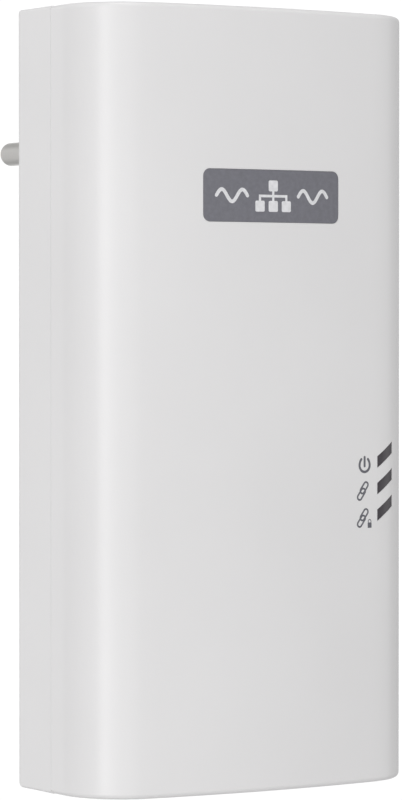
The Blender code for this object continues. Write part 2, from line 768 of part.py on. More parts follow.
def make_board():
    """The circuit board, with clearance holes for the case's pillars and its own screws."""
    low = (-BOARD_HALF_WIDTH, BOARD_FRONT_Y, BOTTOM_Z + BOARD_MARGIN)
    high = (BOARD_HALF_WIDTH, BOARD_BACK_Y, TOP_Z - BOARD_MARGIN)
    board = block("main_board", low, high, "board_green")
    round_edges(board, 3 * MM, 3, lambda a, b: abs(a.y - b.y) > MM)
    for i, (x, z) in enumerate(CASE_SCREWS):
        start = (x, BOARD_FRONT_Y - MM, z)
        cut(board, cylinder(f"cutter_board_pillar_{i}", PILLAR_RADIUS + GAP, start, "Y", 4 * MM))
    for i, (x, z) in enumerate(BOARD_SCREWS):
        start = (x, BOARD_FRONT_Y - MM, z)
        cut(board, cylinder(f"cutter_board_hole_{i}", 1.5 * MM, start, "Y", 4 * MM, steps=16))
    sheet_y = BOARD_FRONT_Y - 2.4 * MM
    sheet_low, sheet_high = (-22 * MM, sheet_y, -46 * MM), (22 * MM, sheet_y + 0.4 * MM, 10 * MM)
    block("insulation_sheet", sheet_low, sheet_high, "sheet_cream")


def on_board(name, size, x, z, material, edge=0.3):
    """A block-shaped part on the board's back. Its size is across, off the board and up, in mm."""
    wide, tall, high = (value * MM for value in size)
    centre = (x * MM, ON_BOARD_Y + tall / 2, z * MM)
    part = box(name, (wide, tall, high), centre, material)
    return bevel(part, edge * MM)


def can(name, radius, length, start, axis, material, steps=ROUND_STEPS):
    """An electrolytic capacitor: a sleeve with a rolled groove near its base, and a pressed top."""
    profile = [
        (0, length - 0.3 * MM),
        (0.78 * radius, length - 0.3 * MM),
        (0.86 * radius, length),
        (0.96 * radius, length),
        (radius, length - 0.5 * MM),
        (radius, 3.2 * MM),
        (0.93 * radius, 2.5 * MM),
        (radius, 1.8 * MM),
        (radius, 0.3 * MM),
        (0.9 * radius, 0),
        (0, 0),
    ]
    return turned(name, profile, start, axis, material, steps)


def disc(name, radius, thickness, x, z, material):
    """A dipped disc that stands on its edge across the board."""
    half = thickness / 2
    profile = [(0, half), (0.7 * radius, half), (0.92 * radius, 0.7 * half), (radius, 0)]
    mirrored = [(r, -h) for r, h in reversed(profile[:-1])]
    place = (x * MM, ON_BOARD_Y + radius, z * MM)
    return turned(name, profile + mirrored, place, "Z", material, 20)


def ring(name, major, minor, centre, start, sweep, material=None):
    """A bar of round section bent into all or part of a ring that lies on the board."""
    steps = max(8, round(24 * sweep / 360))
    curve = bpy.data.curves.new(name, "CURVE")
    curve.dimensions = "3D"
    curve.bevel_depth = minor
    curve.bevel_resolution = 2
    curve.use_fill_caps = True
    spline = curve.splines.new("POLY")
    whole = sweep >= 360
    points = arc((0, 0), major, start, start + sweep, steps)[: steps if whole else None]
    spline.points.add(len(points) - 1)
    for point, (x, y) in zip(spline.points, points):
        point.co = (x, y, 0, 1)
    spline.use_cyclic_u = whole
    mesh = mesh_of(welded_curve(name, curve), name)
    return add_object(name, mesh, placed(centre, AXES["-Y"]), material)


def make_mains_parts():
    """What turns mains into low voltage, on the upper half of the board."""
    on_board("x_capacitor", (13, 12, 7), -7, 15, "tape_yellow", 0.5)
    cylinder("fuse", 4 * MM, (-26 * MM, ON_BOARD_Y, 3 * MM), "Y", 8 * MM, "black_plastic")
    disc("varistor", 5.5 * MM, 4 * MM, -25.5, -9, "part_blue")
    on_board("bridge_rectifier", (15, 11, 3.8), 22.5, -6, "chip_black", 0.4)
    place = (-21.5 * MM, ON_BOARD_Y + 7 * MM, -44 * MM)
    can("bulk_capacitor", 7 * MM, 26 * MM, place, "Z", "black_plastic")
    make_choke()
    make_transformer()
    prism(
        "transistor_heatsink",
        comb_outline(20 * MM, 1.6 * MM, 5 * MM, 6, 1.2 * MM),
        22 * MM,
        (27.2 * MM, ON_BOARD_Y + 11 * MM, -24 * MM),
        "ZX",
        "aluminium",
    )
    transistor = on_board("power_transistor", (4.2, 9, 10), 24.6, -24, "chip_black", 0.2)
    low = (25.2 * MM, ON_BOARD_Y + 8 * MM, -29 * MM)
    high = (26.6 * MM, ON_BOARD_Y + 15.5 * MM, -19 * MM)
    join(transistor, block("cutter_transistor_tab", low, high))


def make_choke():
    """A ferrite ring with a coil on each side of it."""
    centre = (8.5 * MM, ON_BOARD_Y + 3.6 * MM, 9 * MM)
    ring("choke_core", 5.6 * MM, 2.0 * MM, centre, 0, 360, "ferrite")
    for i, start in enumerate((-60, 120), 1):
        coil = ring(f"choke_winding_{i}", 5.6 * MM, 3.2 * MM, centre, start, 120, "copper")
        cut(coil, ring(f"cutter_choke_{i}", 5.6 * MM, 2.3 * MM, centre, 0, 360))


def make_transformer():
    """A ferrite frame around a taped winding on a bobbin."""
    x, y, z = 3 * MM, ON_BOARD_Y + 12.5 * MM, -34 * MM
    core = box("transformer_core", (26 * MM, 22 * MM, 8 * MM), (x, y, z), "ferrite")
    window = box("cutter_core_window", (18.6 * MM, 15.6 * MM, 12 * MM), (x, y, z))
    bevel(cut(core, window), 0.4 * MM)
    winding = box("transformer_winding", (18 * MM, 15 * MM, 15 * MM), (x, y, z), "tape_yellow")
    bevel(winding, 1.6 * MM, 2)
    low = (x - 9 * MM, ON_BOARD_Y, z - 11 * MM)
    high = (x + 9 * MM, y - 11 * MM - GAP, z + 11 * MM)
    bevel(block("transformer_bobbin", low, high, "black_plastic"), 0.3 * MM)


def make_low_voltage_parts():
    """The output filter, the powerline chip and the network parts, on the lower half."""
    for i, z in enumerate((-54, -66), 1):
        place = (-24 * MM, ON_BOARD_Y, z * MM)
        can(f"output_capacitor_{i}", 5 * MM, 18 * MM, place, "Y", "part_blue", 20)
    cylinder("output_choke", 4.5 * MM, (-11 * MM, ON_BOARD_Y, -56 * MM), "Y", 9 * MM, "ferrite")
    on_board("coupling_transformer", (11, 9, 11), 6, -56, "tape_yellow", 0.5)
    on_board("plc_chip", (14, 1.2, 14), 9, -78, "chip_black", 0.15)
    prism(
        "plc_heatsink",
        comb_outline(20 * MM, 2 * MM, 9 * MM, 7, 1.1 * MM),
        20 * MM,
        (9 * MM, ON_BOARD_Y + 1.2 * MM + GAP, -78 * MM),
        "XY",
        "aluminium",
    )
    on_board("memory_chip", (8, 1.2, 12), -12, -80, "chip_black", 0.15)
    on_board("network_transformer", (16, 6.4, 9.6), -8, -97, "chip_black", 0.3)
    low = (-30.2 * MM, ON_BOARD_Y, -83.2 * MM)
    high = (-19.8 * MM, ON_BOARD_Y + 3.6 * MM, -78.8 * MM)
    crystal = block("crystal", low, high, "steel")
    round_edges(crystal, 1.6 * MM, 3, lambda a, b: abs(a.y - b.y) > MM)


# ---------------------------------------------------------------- network port and buttons


def port_box(name, margin, low_z, high_z, material=None):
    """A block around the network port's body, this much larger or smaller all round."""
    low = (PORT_X - PORT_WIDTH / 2 - margin, ON_BOARD_Y - margin, low_z)
    high = (PORT_X + PORT_WIDTH / 2 + margin, ON_BOARD_Y + PORT_DEPTH + margin, high_z)
    return block(name, low, high, material)


def port_hole(side):
    """The hole in the bottom wall for the network port, which the seam runs through."""
    return port_box(f"cutter_port_{side}", GAP, BOTTOM_Z - MM, FLOOR_Z + 2 * LIP_HEIGHT)


def make_port():
    """A shielded network socket: a steel can, a plastic body and eight spring contacts."""
    mouth_z = BOTTOM_Z + PORT_RECESS
    back_z = mouth_z + PORT_LENGTH
    sheet = 0.3 * MM
    half = [(x * MM, y * MM) for x, y in PORT_MOUTH]
    mouth = [(PORT_X + x, y) for x, y in half]
    mouth += [(PORT_X - x, y) for x, y in reversed(half)]
    shield = port_box("port_shield", 0, mouth_z, back_z, "steel")
    inside = port_box("cutter_shield", -sheet, mouth_z + sheet, back_z + MM)
    window_low = (PORT_X - 6.2 * MM, half[-1][1] - GAP, mouth_z - MM)
    window_high = (PORT_X + 6.2 * MM, half[0][1] + GAP, mouth_z + MM)
    cut(shield, inside, block("cutter_shield_window", window_low, window_high))
    housing = port_box("port_housing", -sheet - GAP, mouth_z + sheet + GAP, back_z, "black_plastic")
    depth = 15.4 * MM
    centre = (0, 0, mouth_z + depth / 2 - MM)
    cut(housing, prism("cutter_port_mouth", mouth, depth, centre, "XY"))
    make_contacts(half[0][1], mouth_z)


def make_contacts(wall_y, mouth_z):
    """Eight spring wires that slope into the port, held by one bar along its inner end."""
    thickness = 0.35 * MM
    near_y = wall_y - GAP - thickness / 2
    far_y = wall_y - 2.1 * MM
    line = [
        (near_y, mouth_z + 3 * MM),
        (near_y, mouth_z + 4.2 * MM),
        (far_y, mouth_z + 11 * MM),
        (far_y + 0.3 * MM, mouth_z + 13.4 * MM),
    ]
    outline = strip_outline(line, thickness)
    bar_low = (PORT_X - 4.6 * MM, far_y - 0.2 * MM, mouth_z + 12.6 * MM)
    bar_high = (PORT_X + 4.6 * MM, wall_y - GAP, mouth_z + 13.8 * MM)
    contacts = block("port_contacts", bar_low, bar_high, "pin_nickel")
    for i in range(CONTACTS):
        x = PORT_X + (i - (CONTACTS - 1) / 2) * CONTACT_PITCH
        join(contacts, prism(f"cutter_contact_{i}", outline, 0.46 * MM, (x, 0, 0), "YZ"))


def make_switch(prefix, x, y, half, tall, low_z, plunger_radius, reach, stroke):
    """A side-pushed switch on the board: a moulded body and the plunger that slides in it."""
    high_z = low_z + 4 * MM
    low = (x - half, ON_BOARD_Y, low_z)
    body = block(f"{prefix}_switch_body", low, (x + half, ON_BOARD_Y + tall, high_z), "chip_black")
    clearance = plunger_radius + GAP
    room = 1.6 * MM + stroke + GAP
    cut(body, cylinder(f"cutter_{prefix}_well", clearance, (x, y, low_z - MM), "Z", room + MM, steps=16))
    start = (x, y, low_z - reach)
    cylinder(
        f"{prefix}_switch_plunger",
        plunger_radius,
        start,
        "Z",
        reach + 1.6 * MM,
        "light_body",
        16,
    )


def make_buttons():
    """The pairing button in the bottom wall, and the reset switch behind its pinhole."""
    body_z = FLOOR_Z + 4.8 * MM
    make_switch("pair", PAIR_X, PAIR_Y, 3.1 * MM, 6.2 * MM, body_z, 1.5 * MM, 1.4 * MM, PAIR_TRAVEL)
    top_z = body_z - 1.4 * MM - GAP
    face_z = BOTTOM_Z + 0.2 * MM
    flange_z = FLOOR_Z + GAP
    profile = [
        (0, top_z),
        (1.5 * MM, top_z),
        (1.5 * MM, flange_z + MM),
        (3.3 * MM, flange_z + MM),
        (3.3 * MM, flange_z),
        (BUTTON_RADIUS, flange_z),
        (BUTTON_RADIUS, face_z + 0.3 * MM),
        (BUTTON_RADIUS - 0.3 * MM, face_z),
        (1.2 * MM, face_z + 0.25 * MM),
        (0, face_z + 0.3 * MM),
    ]
    turned("pair_button", profile, (PAIR_X, PAIR_Y, 0), "Z", "plug_grey")
    reset_z = FLOOR_Z + 3.4 * MM
    make_switch("reset", RESET_X, RESET_Y, 2.2 * MM, 5 * MM, reset_z, 0.8 * MM, 0.9 * MM, RESET_TRAVEL)


# ---------------------------------------------------------------- wires


def make_wires():
    """Insulated leads from the pins' tails and the earth bridge down to the board."""
    tail_y = TAIL_END_Y - GAP
    leads = {
        "live_wire": ("wire_brown", -9.5, tail_y, 0, (-16.5, 3), 1.0),
        "neutral_wire": ("part_blue", 9.5, tail_y, 0, (22, 3.5), 1.0),
        "earth_wire": ("wire_green", 0, tail_y - 0.8 * MM, -8, (-12, -4.5), 0.9),
    }
    for name, (material, x, y, z, (end_x, end_z), radius) in leads.items():
        x, z, end_x, end_z = x * MM, z * MM, end_x * MM, end_z * MM
        route = [
            (x, y, z),
            (x, y - 3 * MM, z),
            (0.8 * x + 0.2 * end_x, y - 7 * MM, 0.8 * z + 0.2 * end_z),
            (0.3 * x + 0.7 * end_x, y - 12 * MM, 0.3 * z + 0.7 * end_z),
            (end_x, ON_BOARD_Y + 7 * MM, end_z),
            (end_x, ON_BOARD_Y, end_z),
        ]
        tube(name, route, radius * MM, material)


make_front_cover()
make_rear_cover()
make_label()
make_plug_base()
make_pins()
make_earth_parts()
make_screws()
make_indicators()
make_board()
make_mains_parts()
make_low_voltage_parts()
make_port()
make_buttons()
make_wires()
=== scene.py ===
"""Looks of a powerline adapter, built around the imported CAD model."""

import json
import math

import bmesh
import bpy
from mathutils import Matrix, Vector


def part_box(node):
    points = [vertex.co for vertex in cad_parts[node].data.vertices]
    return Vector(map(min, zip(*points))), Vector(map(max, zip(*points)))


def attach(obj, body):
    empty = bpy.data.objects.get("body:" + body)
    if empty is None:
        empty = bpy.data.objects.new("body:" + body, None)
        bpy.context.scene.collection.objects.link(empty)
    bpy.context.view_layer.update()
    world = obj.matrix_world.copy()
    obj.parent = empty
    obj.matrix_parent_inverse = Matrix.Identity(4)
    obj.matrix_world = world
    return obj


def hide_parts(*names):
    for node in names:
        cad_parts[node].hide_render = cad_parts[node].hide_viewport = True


MM = 0.001

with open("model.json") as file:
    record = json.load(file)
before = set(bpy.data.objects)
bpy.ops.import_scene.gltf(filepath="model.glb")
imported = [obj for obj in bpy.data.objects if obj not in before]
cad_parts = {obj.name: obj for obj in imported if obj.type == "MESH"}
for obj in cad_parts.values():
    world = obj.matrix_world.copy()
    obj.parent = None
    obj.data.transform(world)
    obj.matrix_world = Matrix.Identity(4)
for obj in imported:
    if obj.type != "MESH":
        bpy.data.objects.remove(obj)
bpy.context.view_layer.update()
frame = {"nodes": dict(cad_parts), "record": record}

# ---------------------------------------------------------------- sizes, from the frame where it has them

CASE_LOW, CASE_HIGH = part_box("front_cover")
REAR_LOW, REAR_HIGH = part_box("rear_cover")
WIDTH = CASE_HIGH.x - CASE_LOW.x
HEIGHT = CASE_HIGH.z - CASE_LOW.z
MIDDLE_Z = (CASE_HIGH.z + CASE_LOW.z) / 2
BOTTOM_Z = CASE_LOW.z
FRONT_Y = CASE_LOW.y
BACK_Y = REAR_HIGH.y
SEAM_Y = REAR_LOW.y - 0.3 * MM
TAPER_Y = FRONT_Y + 31.4 * MM
FRONT_RADIUS = 192.6 * MM
CORNER_RADIUS = 13.5 * MM
BACK_WIDTH = 52 * MM
TOP_TAPER = 2 * MM
BOTTOM_TAPER = 8 * MM
WALL = 2 * MM
SEAM_GAP = 0.06 * MM
SMALL_GAP = 0.1 * MM
SHANK_LENGTH = 12 * MM
BORE_RADIUS = 3 * MM
LABEL_SIZE = (36 * MM, 44 * MM)
LABEL_CORNER = 1.4 * MM
VENT_SIZE = (12 * MM, 1.6 * MM)
VENT_ROWS = 13
VENT_PITCH = 5 * MM
VENT_TOP_Z = -38 * MM
BUTTON_RADIUS = 2.5 * MM
PLUNGER_RADIUS = 0.8 * MM
LONG = 30 * MM  # longer than any bore it is used for

PLANES = {
    "XY": Matrix.Identity(4),
    "XZ": Matrix.Rotation(math.radians(90), 4, "X"),
    "YZ": Matrix(((0, 0, 1, 0), (1, 0, 0, 0), (0, 1, 0, 0), (0, 0, 0, 1))),
}
AXES = {
    "Y": Matrix.Rotation(math.radians(-90), 4, "X"),
    "-Y": Matrix.Rotation(math.radians(90), 4, "X"),
    "Z": Matrix.Identity(4),
}

# ---------------------------------------------------------------- shader helpers


class Shader:
    """A material being wired: a Principled shader and its nodes."""

    def __init__(self, name, colour, roughness, metallic=0.0, **sockets):
        self.material = bpy.data.materials.new(name)
        self.material.use_nodes = True
        self.tree = self.material.node_tree
        self.surface = self.tree.nodes["Principled BSDF"]
        self.surface.inputs["Base Color"].default_value = (*colour, 1.0)
        self.surface.inputs["Roughness"].default_value = roughness
        self.surface.inputs["Metallic"].default_value = metallic
        for socket, value in sockets.items():
            self.surface.inputs[socket.replace("_", " ")].default_value = value
        self.place = self.tree.nodes.new("ShaderNodeTexCoord").outputs["Object"]

    def node(self, kind, links=(), **values):
        made = self.tree.nodes.new(f"ShaderNode{kind}")
        for key, value in values.items():
            if key in made.inputs:
                made.inputs[key].default_value = value
            else:
                setattr(made, key, value)
        for socket, source in dict(links).items():
            self.tree.links.new(source, made.inputs[socket])
        return made

    def stretched(self, scale):
        """The place in space, stretched by a scale for each axis."""
        return self.node("Mapping", {"Vector": self.place}, Scale=scale).outputs["Vector"]

    def noise(self, scale, detail, place=None):
        links = {"Vector": place or self.place}
        return self.node("TexNoise", links, Scale=scale, Detail=detail, Roughness=0.5).outputs["Fac"]

    def ramp(self, source, low, high, low_at=0.0, high_at=1.0):
        """Maps a 0 to 1 value onto a range of numbers."""
        made = self.node("MapRange", {"Value": source})
        for name, value in (("From Min", low_at), ("From Max", high_at), ("To Min", low), ("To Max", high)):
            made.inputs[name].default_value = value
        return made.outputs["Result"]

    def colours(self, source, low, high, low_at=0.3, high_at=0.7):
        """Maps a 0 to 1 value onto two colours."""
        made = self.node("ValToRGB", {"Fac": source})
        ends = made.color_ramp.elements
        ends[0].position, ends[1].position = low_at, high_at
        ends[0].color, ends[1].color = (*low, 1.0), (*high, 1.0)
        return made.outputs["Color"]

    def set(self, socket, source):
        self.tree.links.new(source, self.surface.inputs[socket])

    def bump(self, height, distance, strength=1.0):
        made = self.node("Bump", {"Height": height}, Strength=strength, Distance=distance)
        self.set("Normal", made.outputs["Normal"])


def shade(colour, factor):
    return tuple(min(1.0, part * factor) for part in colour)


def moulded_plastic(name, colour, roughness, grain=0.01 * MM, scale=2600, spread=0.012):
    """Moulded plastic: a spark-eroded grain and a very slight unevenness of tone and gloss."""
    made = Shader(name, colour, roughness)
    cloud = made.noise(35, 4)
    made.set("Base Color", made.colours(cloud, shade(colour, 1 - spread), shade(colour, 1 + spread)))
    made.set("Roughness", made.ramp(made.noise(180, 3), roughness - 0.03, roughness + 0.03))
    made.bump(made.noise(scale, 2), grain)
    return made.material


def plated_metal(name, colour, roughness, scale=900, along=(1, 1, 1), spread=0.06):
    """Plated or drawn metal, with fine marks along one direction."""
    made = Shader(name, colour, roughness, 1.0)
    marks = made.noise(scale, 4, made.stretched(along))
    cloud = made.noise(120, 4)
    made.set("Base Color", made.colours(cloud, shade(colour, 1 - spread), shade(colour, 1 + spread)))
    made.set("Roughness", made.ramp(marks, roughness * 0.75, roughness * 1.3))
    made.bump(marks, 0.006 * MM, 0.6)
    return made.material


def circuit_board(name):
    """Green solder mask over copper tracks, with paler tinned pads."""
    mask, track, pad = (0.012, 0.11, 0.05), (0.03, 0.2, 0.085), (0.6, 0.6, 0.55)
    made = Shader(name, mask, 0.35)
    lines = made.node(
        "TexVoronoi",
        {"Vector": made.stretched((1, 0, 1))},
        feature="DISTANCE_TO_EDGE",
        distance="MANHATTAN",
        Scale=210.0,
        Randomness=0.8,
    ).outputs["Distance"]
    copper = made.colours(lines, mask, track, 0.16, 0.2)
    dots = made.node(
        "TexVoronoi", {"Vector": made.stretched((1, 0, 1))}, Scale=240.0, Randomness=0.9
    ).outputs["Distance"]
    blend = made.node("MixRGB", {"Fac": made.ramp(dots, 1, 0, 0.13, 0.16), "Color1": copper})
    blend.inputs["Color2"].default_value = (*pad, 1)
    made.set("Base Color", blend.outputs["Color"])
    made.bump(lines, 0.03 * MM, 0.4)
    return made.material


def winding(name, colour, pitch, axis):
    """Round wire laid side by side: bands across one axis, with painted shade darkening the groove between
    each two turns.
    """
    made = Shader(name, colour, 0.3, 0.85)
    wave_turn = 20  # radians that a wave texture of scale 1 runs through in a metre
    bands = made.node(
        "TexWave",
        {"Vector": made.place},
        wave_type="BANDS",
        bands_direction=axis,
        Scale=math.tau / (wave_turn * pitch),
        Distortion=0.4,
    ).outputs["Fac"]
    # The dark end of each band is painted shade in the groove between two turns, not a colour of the wire.
    made.set("Base Color", made.colours(bands, shade(colour, 0.45), colour, 0.1, 0.8))
    made.bump(bands, 0.08 * MM)
    return made.material


def layered_tape(name, colour):
    """Glossy tape wound in layers, with faint overlaps."""
    made = Shader(name, colour, 0.28)
    bands = made.node(
        "TexWave", {"Vector": made.place}, bands_direction="Z", Scale=60.0, Distortion=0.6
    ).outputs["Fac"]
    made.set("Base Color", made.colours(bands, shade(colour, 0.86), colour, 0.1, 0.5))
    made.bump(bands, 0.03 * MM)
    return made.material


def smoked_plastic(name):
    """Dark translucent-looking plastic with a polished face and a faint brushed depth."""
    colour = (0.052, 0.045, 0.053)
    made = Shader(name, colour, 0.22)
    streaks = made.noise(900, 3, made.stretched((1, 1, 0.35)))
    made.set("Base Color", made.colours(streaks, shade(colour, 0.86), shade(colour, 1.16)))
    made.set("Roughness", made.ramp(made.noise(400, 2), 0.2, 0.3))
    made.bump(made.noise(1500, 2), 0.004 * MM)
    return made.material


def printed_ink(name, colour):
    """Pad-printed ink, a little uneven where it meets the grain below."""
    made = Shader(name, colour, 0.5)
    made.set("Base Color", made.colours(made.noise(1300, 3), shade(colour, 0.93), shade(colour, 1.07)))
    made.bump(made.noise(2600, 2), 0.008 * MM)
    return made.material


def paper_film(name, colour):
    made = Shader(name, colour, 0.55)
    made.set("Base Color", made.colours(made.noise(900, 4), shade(colour, 0.985), shade(colour, 1.015)))
    made.bump(made.noise(900, 4), 0.01 * MM)
    return made.material


def floor_material(name):
    """A pale light table, bright enough to read as plain white."""
    colour = (0.9, 0.9, 0.9)
    made = Shader(name, colour, 0.7, Emission_Color=(1, 1, 1, 1), Emission_Strength=0.75)
    made.set("Base Color", made.colours(made.noise(2, 3), shade(colour, 0.99), shade(colour, 1.01)))
    return made.material


CASE_WHITE = (0.805, 0.797, 0.801)
MATERIALS = {
    "case_white": moulded_plastic("case_white", CASE_WHITE, 0.3),
    "plug_grey": moulded_plastic("plug_grey", (0.66, 0.66, 0.67), 0.5, 0.02 * MM, 1800),
    "lens_smoke": smoked_plastic("lens_smoke"),
    "pin_nickel": plated_metal("pin_nickel", (0.64, 0.63, 0.615), 0.5, 500, (1, 0.08, 1), 0.03),
    "steel": plated_metal("steel", (0.56, 0.56, 0.57), 0.34),
    "aluminium": plated_metal("aluminium", (0.72, 0.73, 0.74), 0.38, 700, (1, 0.1, 1)),
    "copper": winding("copper", (0.72, 0.34, 0.16), 0.6 * MM, "Z"),
    "black_plastic": moulded_plastic("black_plastic", (0.026, 0.026, 0.028), 0.45, spread=0.1),
    "board_green": circuit_board("board_green"),
    "ferrite": moulded_plastic("ferrite", (0.05, 0.05, 0.054), 0.62, 0.02 * MM, 1200, 0.12),
    "tape_yellow": layered_tape("tape_yellow", (0.8, 0.56, 0.06)),
    "part_blue": moulded_plastic("part_blue", (0.04, 0.13, 0.42), 0.3, spread=0.08),
    "wire_brown": moulded_plastic("wire_brown", (0.17, 0.07, 0.03), 0.4, spread=0.06),
    "wire_green": moulded_plastic("wire_green", (0.25, 0.45, 0.05), 0.4, spread=0.06),
    "chip_black": moulded_plastic("chip_black", (0.02, 0.02, 0.022), 0.58, 0.02 * MM, 1500, 0.12),
    "label_white": paper_film("label_white", (0.82, 0.82, 0.80)),
    "light_body": moulded_plastic("light_body", (0.86, 0.84, 0.68), 0.3, spread=0.05),
    "sheet_cream": paper_film("sheet_cream", (0.78, 0.72, 0.54)),
}
INK_GREY = printed_ink("ink_grey", (0.13, 0.13, 0.15))
BADGE_GREY = printed_ink("badge_grey", (0.175, 0.175, 0.2))
BADGE_WHITE = printed_ink("badge_white", (0.78, 0.78, 0.80))
GOLD = plated_metal("contact_gold", (0.83, 0.62, 0.27), 0.22)
FLOOR = floor_material("floor_pale")

# ---------------------------------------------------------------- making meshes


def add_mesh(name, bm, matrix):
    mesh = bpy.data.meshes.new(name)
    bm.to_mesh(mesh)
    bm.free()
    obj = bpy.data.objects.new(name, mesh)
    bpy.context.scene.collection.objects.link(obj)
    mesh.transform(matrix)
    return obj


def placed(centre, rotation):
    return Matrix.Translation(Vector(centre)) @ rotation


def block(name, low, high):
    low, high = Vector(low), Vector(high)
    bm = bmesh.new()
    bmesh.ops.create_cube(bm, size=1.0, matrix=Matrix.Diagonal((*(high - low), 1.0)))
    return add_mesh(name, bm, Matrix.Translation((low + high) / 2))


def cylinder(name, radius, start, axis, length, steps=48, tip=None):
    bm = bmesh.new()
    bmesh.ops.create_cone(
        bm,
        cap_ends=True,
        segments=steps,
        radius1=radius,
        radius2=radius if tip is None else tip,
        depth=length,
        matrix=Matrix.Translation((0, 0, length / 2)),
    )
    return add_mesh(name, bm, placed(start, AXES[axis]))


def prism(name, outline, low, high, plane):
    """A flat outline drawn in a plane, between two places along that plane's normal."""
    bm = bmesh.new()
    face = bm.faces.new([bm.verts.new((x, y, low)) for x, y in outline])
    grown = bmesh.ops.extrude_face_region(bm, geom=[face])["geom"]
    raised = [item for item in grown if isinstance(item, bmesh.types.BMVert)]
    bmesh.ops.translate(bm, verts=raised, vec=(0, 0, high - low))
    bmesh.ops.recalc_face_normals(bm, faces=bm.faces)
    return add_mesh(name, bm, PLANES[plane])


def turned(name, profile, start, axis, steps=64):
    """A turned shape from (radius, height) points, from its top down to its base."""
    bm = bmesh.new()
    points = [bm.verts.new((radius, 0, height)) for radius, height in profile]
    edges = [bm.edges.new(pair) for pair in zip(points, points[1:])]
    bmesh.ops.spin(
        bm,
        geom=[*points, *edges],
        cent=(0, 0, 0),
        axis=(0, 0, 1),
        angle=math.tau,
        steps=steps,
    )
    bmesh.ops.remove_doubles(bm, verts=bm.verts, dist=0.000001)
    bmesh.ops.recalc_face_normals(bm, faces=bm.faces)
    return add_mesh(name, bm, placed(start, AXES[axis]))


def settle(obj):
    """Replaces the object's mesh with the result of its modifiers."""
    graph = bpy.context.evaluated_depsgraph_get()
    mesh = bpy.data.meshes.new_from_object(obj.evaluated_get(graph))
    obj.modifiers.clear()
    obj.data = mesh
    return obj


def combine(obj, others, operation):
    """Cuts, joins or intersects with the other objects, which are used up."""
    group = bpy.data.collections.new("group")
    for other in others:
        group.objects.link(other)
    modifier = obj.modifiers.new("boolean", "BOOLEAN")
    modifier.operation = operation
    if operation == "INTERSECT":
        modifier.object = others[0]
    else:
        modifier.operand_type = "COLLECTION"
        modifier.collection = group
    settle(obj)
    bpy.data.collections.remove(group)
    for other in others:
        bpy.data.objects.remove(other)
    return obj


def cut(obj, *cutters):
    return combine(obj, cutters, "DIFFERENCE")


def join(obj, *others):
    return combine(obj, others, "UNION")


def meet(obj, other):
    return combine(obj, [other], "INTERSECT")


def round_edges(obj, width, segments, chosen=lambda a, b: True, sharpest=20, clamp=True):
    """Rounds the sharp edges that the test picks, given their two ends."""
    bm = bmesh.new()
    bm.from_mesh(obj.data)
    sharp = [e for e in bm.edges if e.calc_face_angle(0) > math.radians(sharpest)]
    picked = [e for e in sharp if chosen(*(v.co for v in e.verts))]
    bmesh.ops.bevel(
        bm, geom=picked, offset=width, segments=segments, profile=0.5, affect="EDGES", clamp_overlap=clamp
    )
    bm.to_mesh(obj.data)
    bm.free()
    return obj


def dress(obj, material, stands_for=(), body="case", sharp=30):
    """Gives a finished piece its material and normals, and hangs it on the frame."""
    obj.data.materials.clear()
    obj.data.materials.append(MATERIALS[material] if material in MATERIALS else material)
    obj.data.shade_smooth()
    obj.data.set_sharp_from_angle(angle=math.radians(sharp))
    normals = obj.modifiers.new("normals", "WEIGHTED_NORMAL")
    normals.keep_sharp = True
    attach(obj, body)
    if stands_for:
        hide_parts(*stands_for)
    return obj


# ---------------------------------------------------------------- outlines


def arc(centre, radius, first, last, steps):
    """Points on an arc between two angles, in degrees."""
    angles = [math.radians(first + (last - first) * i / steps) for i in range(steps + 1)]
    return [(centre[0] + radius * math.cos(a), centre[1] + radius * math.sin(a)) for a in angles]


def case_outline(inset, back_y, corner_steps=24, front_steps=64):
    """The case seen from above: a bowed front, round corners, straight sides to back_y."""
    bow_y = FRONT_Y + FRONT_RADIUS
    corner_x = WIDTH / 2 - CORNER_RADIUS
    corner_y = bow_y - math.sqrt((FRONT_RADIUS - CORNER_RADIUS) ** 2 - corner_x**2)
    lean = math.degrees(math.asin(corner_x / (FRONT_RADIUS - CORNER_RADIUS)))
    left = arc((-corner_x, corner_y), CORNER_RADIUS - inset, 180, 270 - lean, corner_steps)
    front = arc((0, bow_y), FRONT_RADIUS - inset, 270 - lean, 270 + lean, front_steps)
    right = arc((corner_x, corner_y), CORNER_RADIUS - inset, 270 + lean, 360, corner_steps)
    half = WIDTH / 2 - inset
    return [(-half, back_y), *left, *front[1:-1], *right, (half, back_y)]


def case_block(name, inset, back_y):
    low, high = BOTTOM_Z + inset, CASE_HIGH.z - inset
    return prism(name, case_outline(inset, back_y), low, high, "XY")


def rear_outline(inset, front_y):
    """The rear cover seen from above: straight sides from front_y, then a taper to the back."""
    run, rise = (WIDTH - BACK_WIDTH) / 2, BACK_Y - TAPER_Y
    length = math.hypot(run, rise)
    half = WIDTH / 2 - inset
    taper_y = TAPER_Y - inset * (length - rise) / run
    back_half = BACK_WIDTH / 2 - inset * (length - run) / rise
    right = [(half, front_y), (half, taper_y), (back_half, BACK_Y - inset)]
    return [*right, *((-x, y) for x, y in reversed(right))]


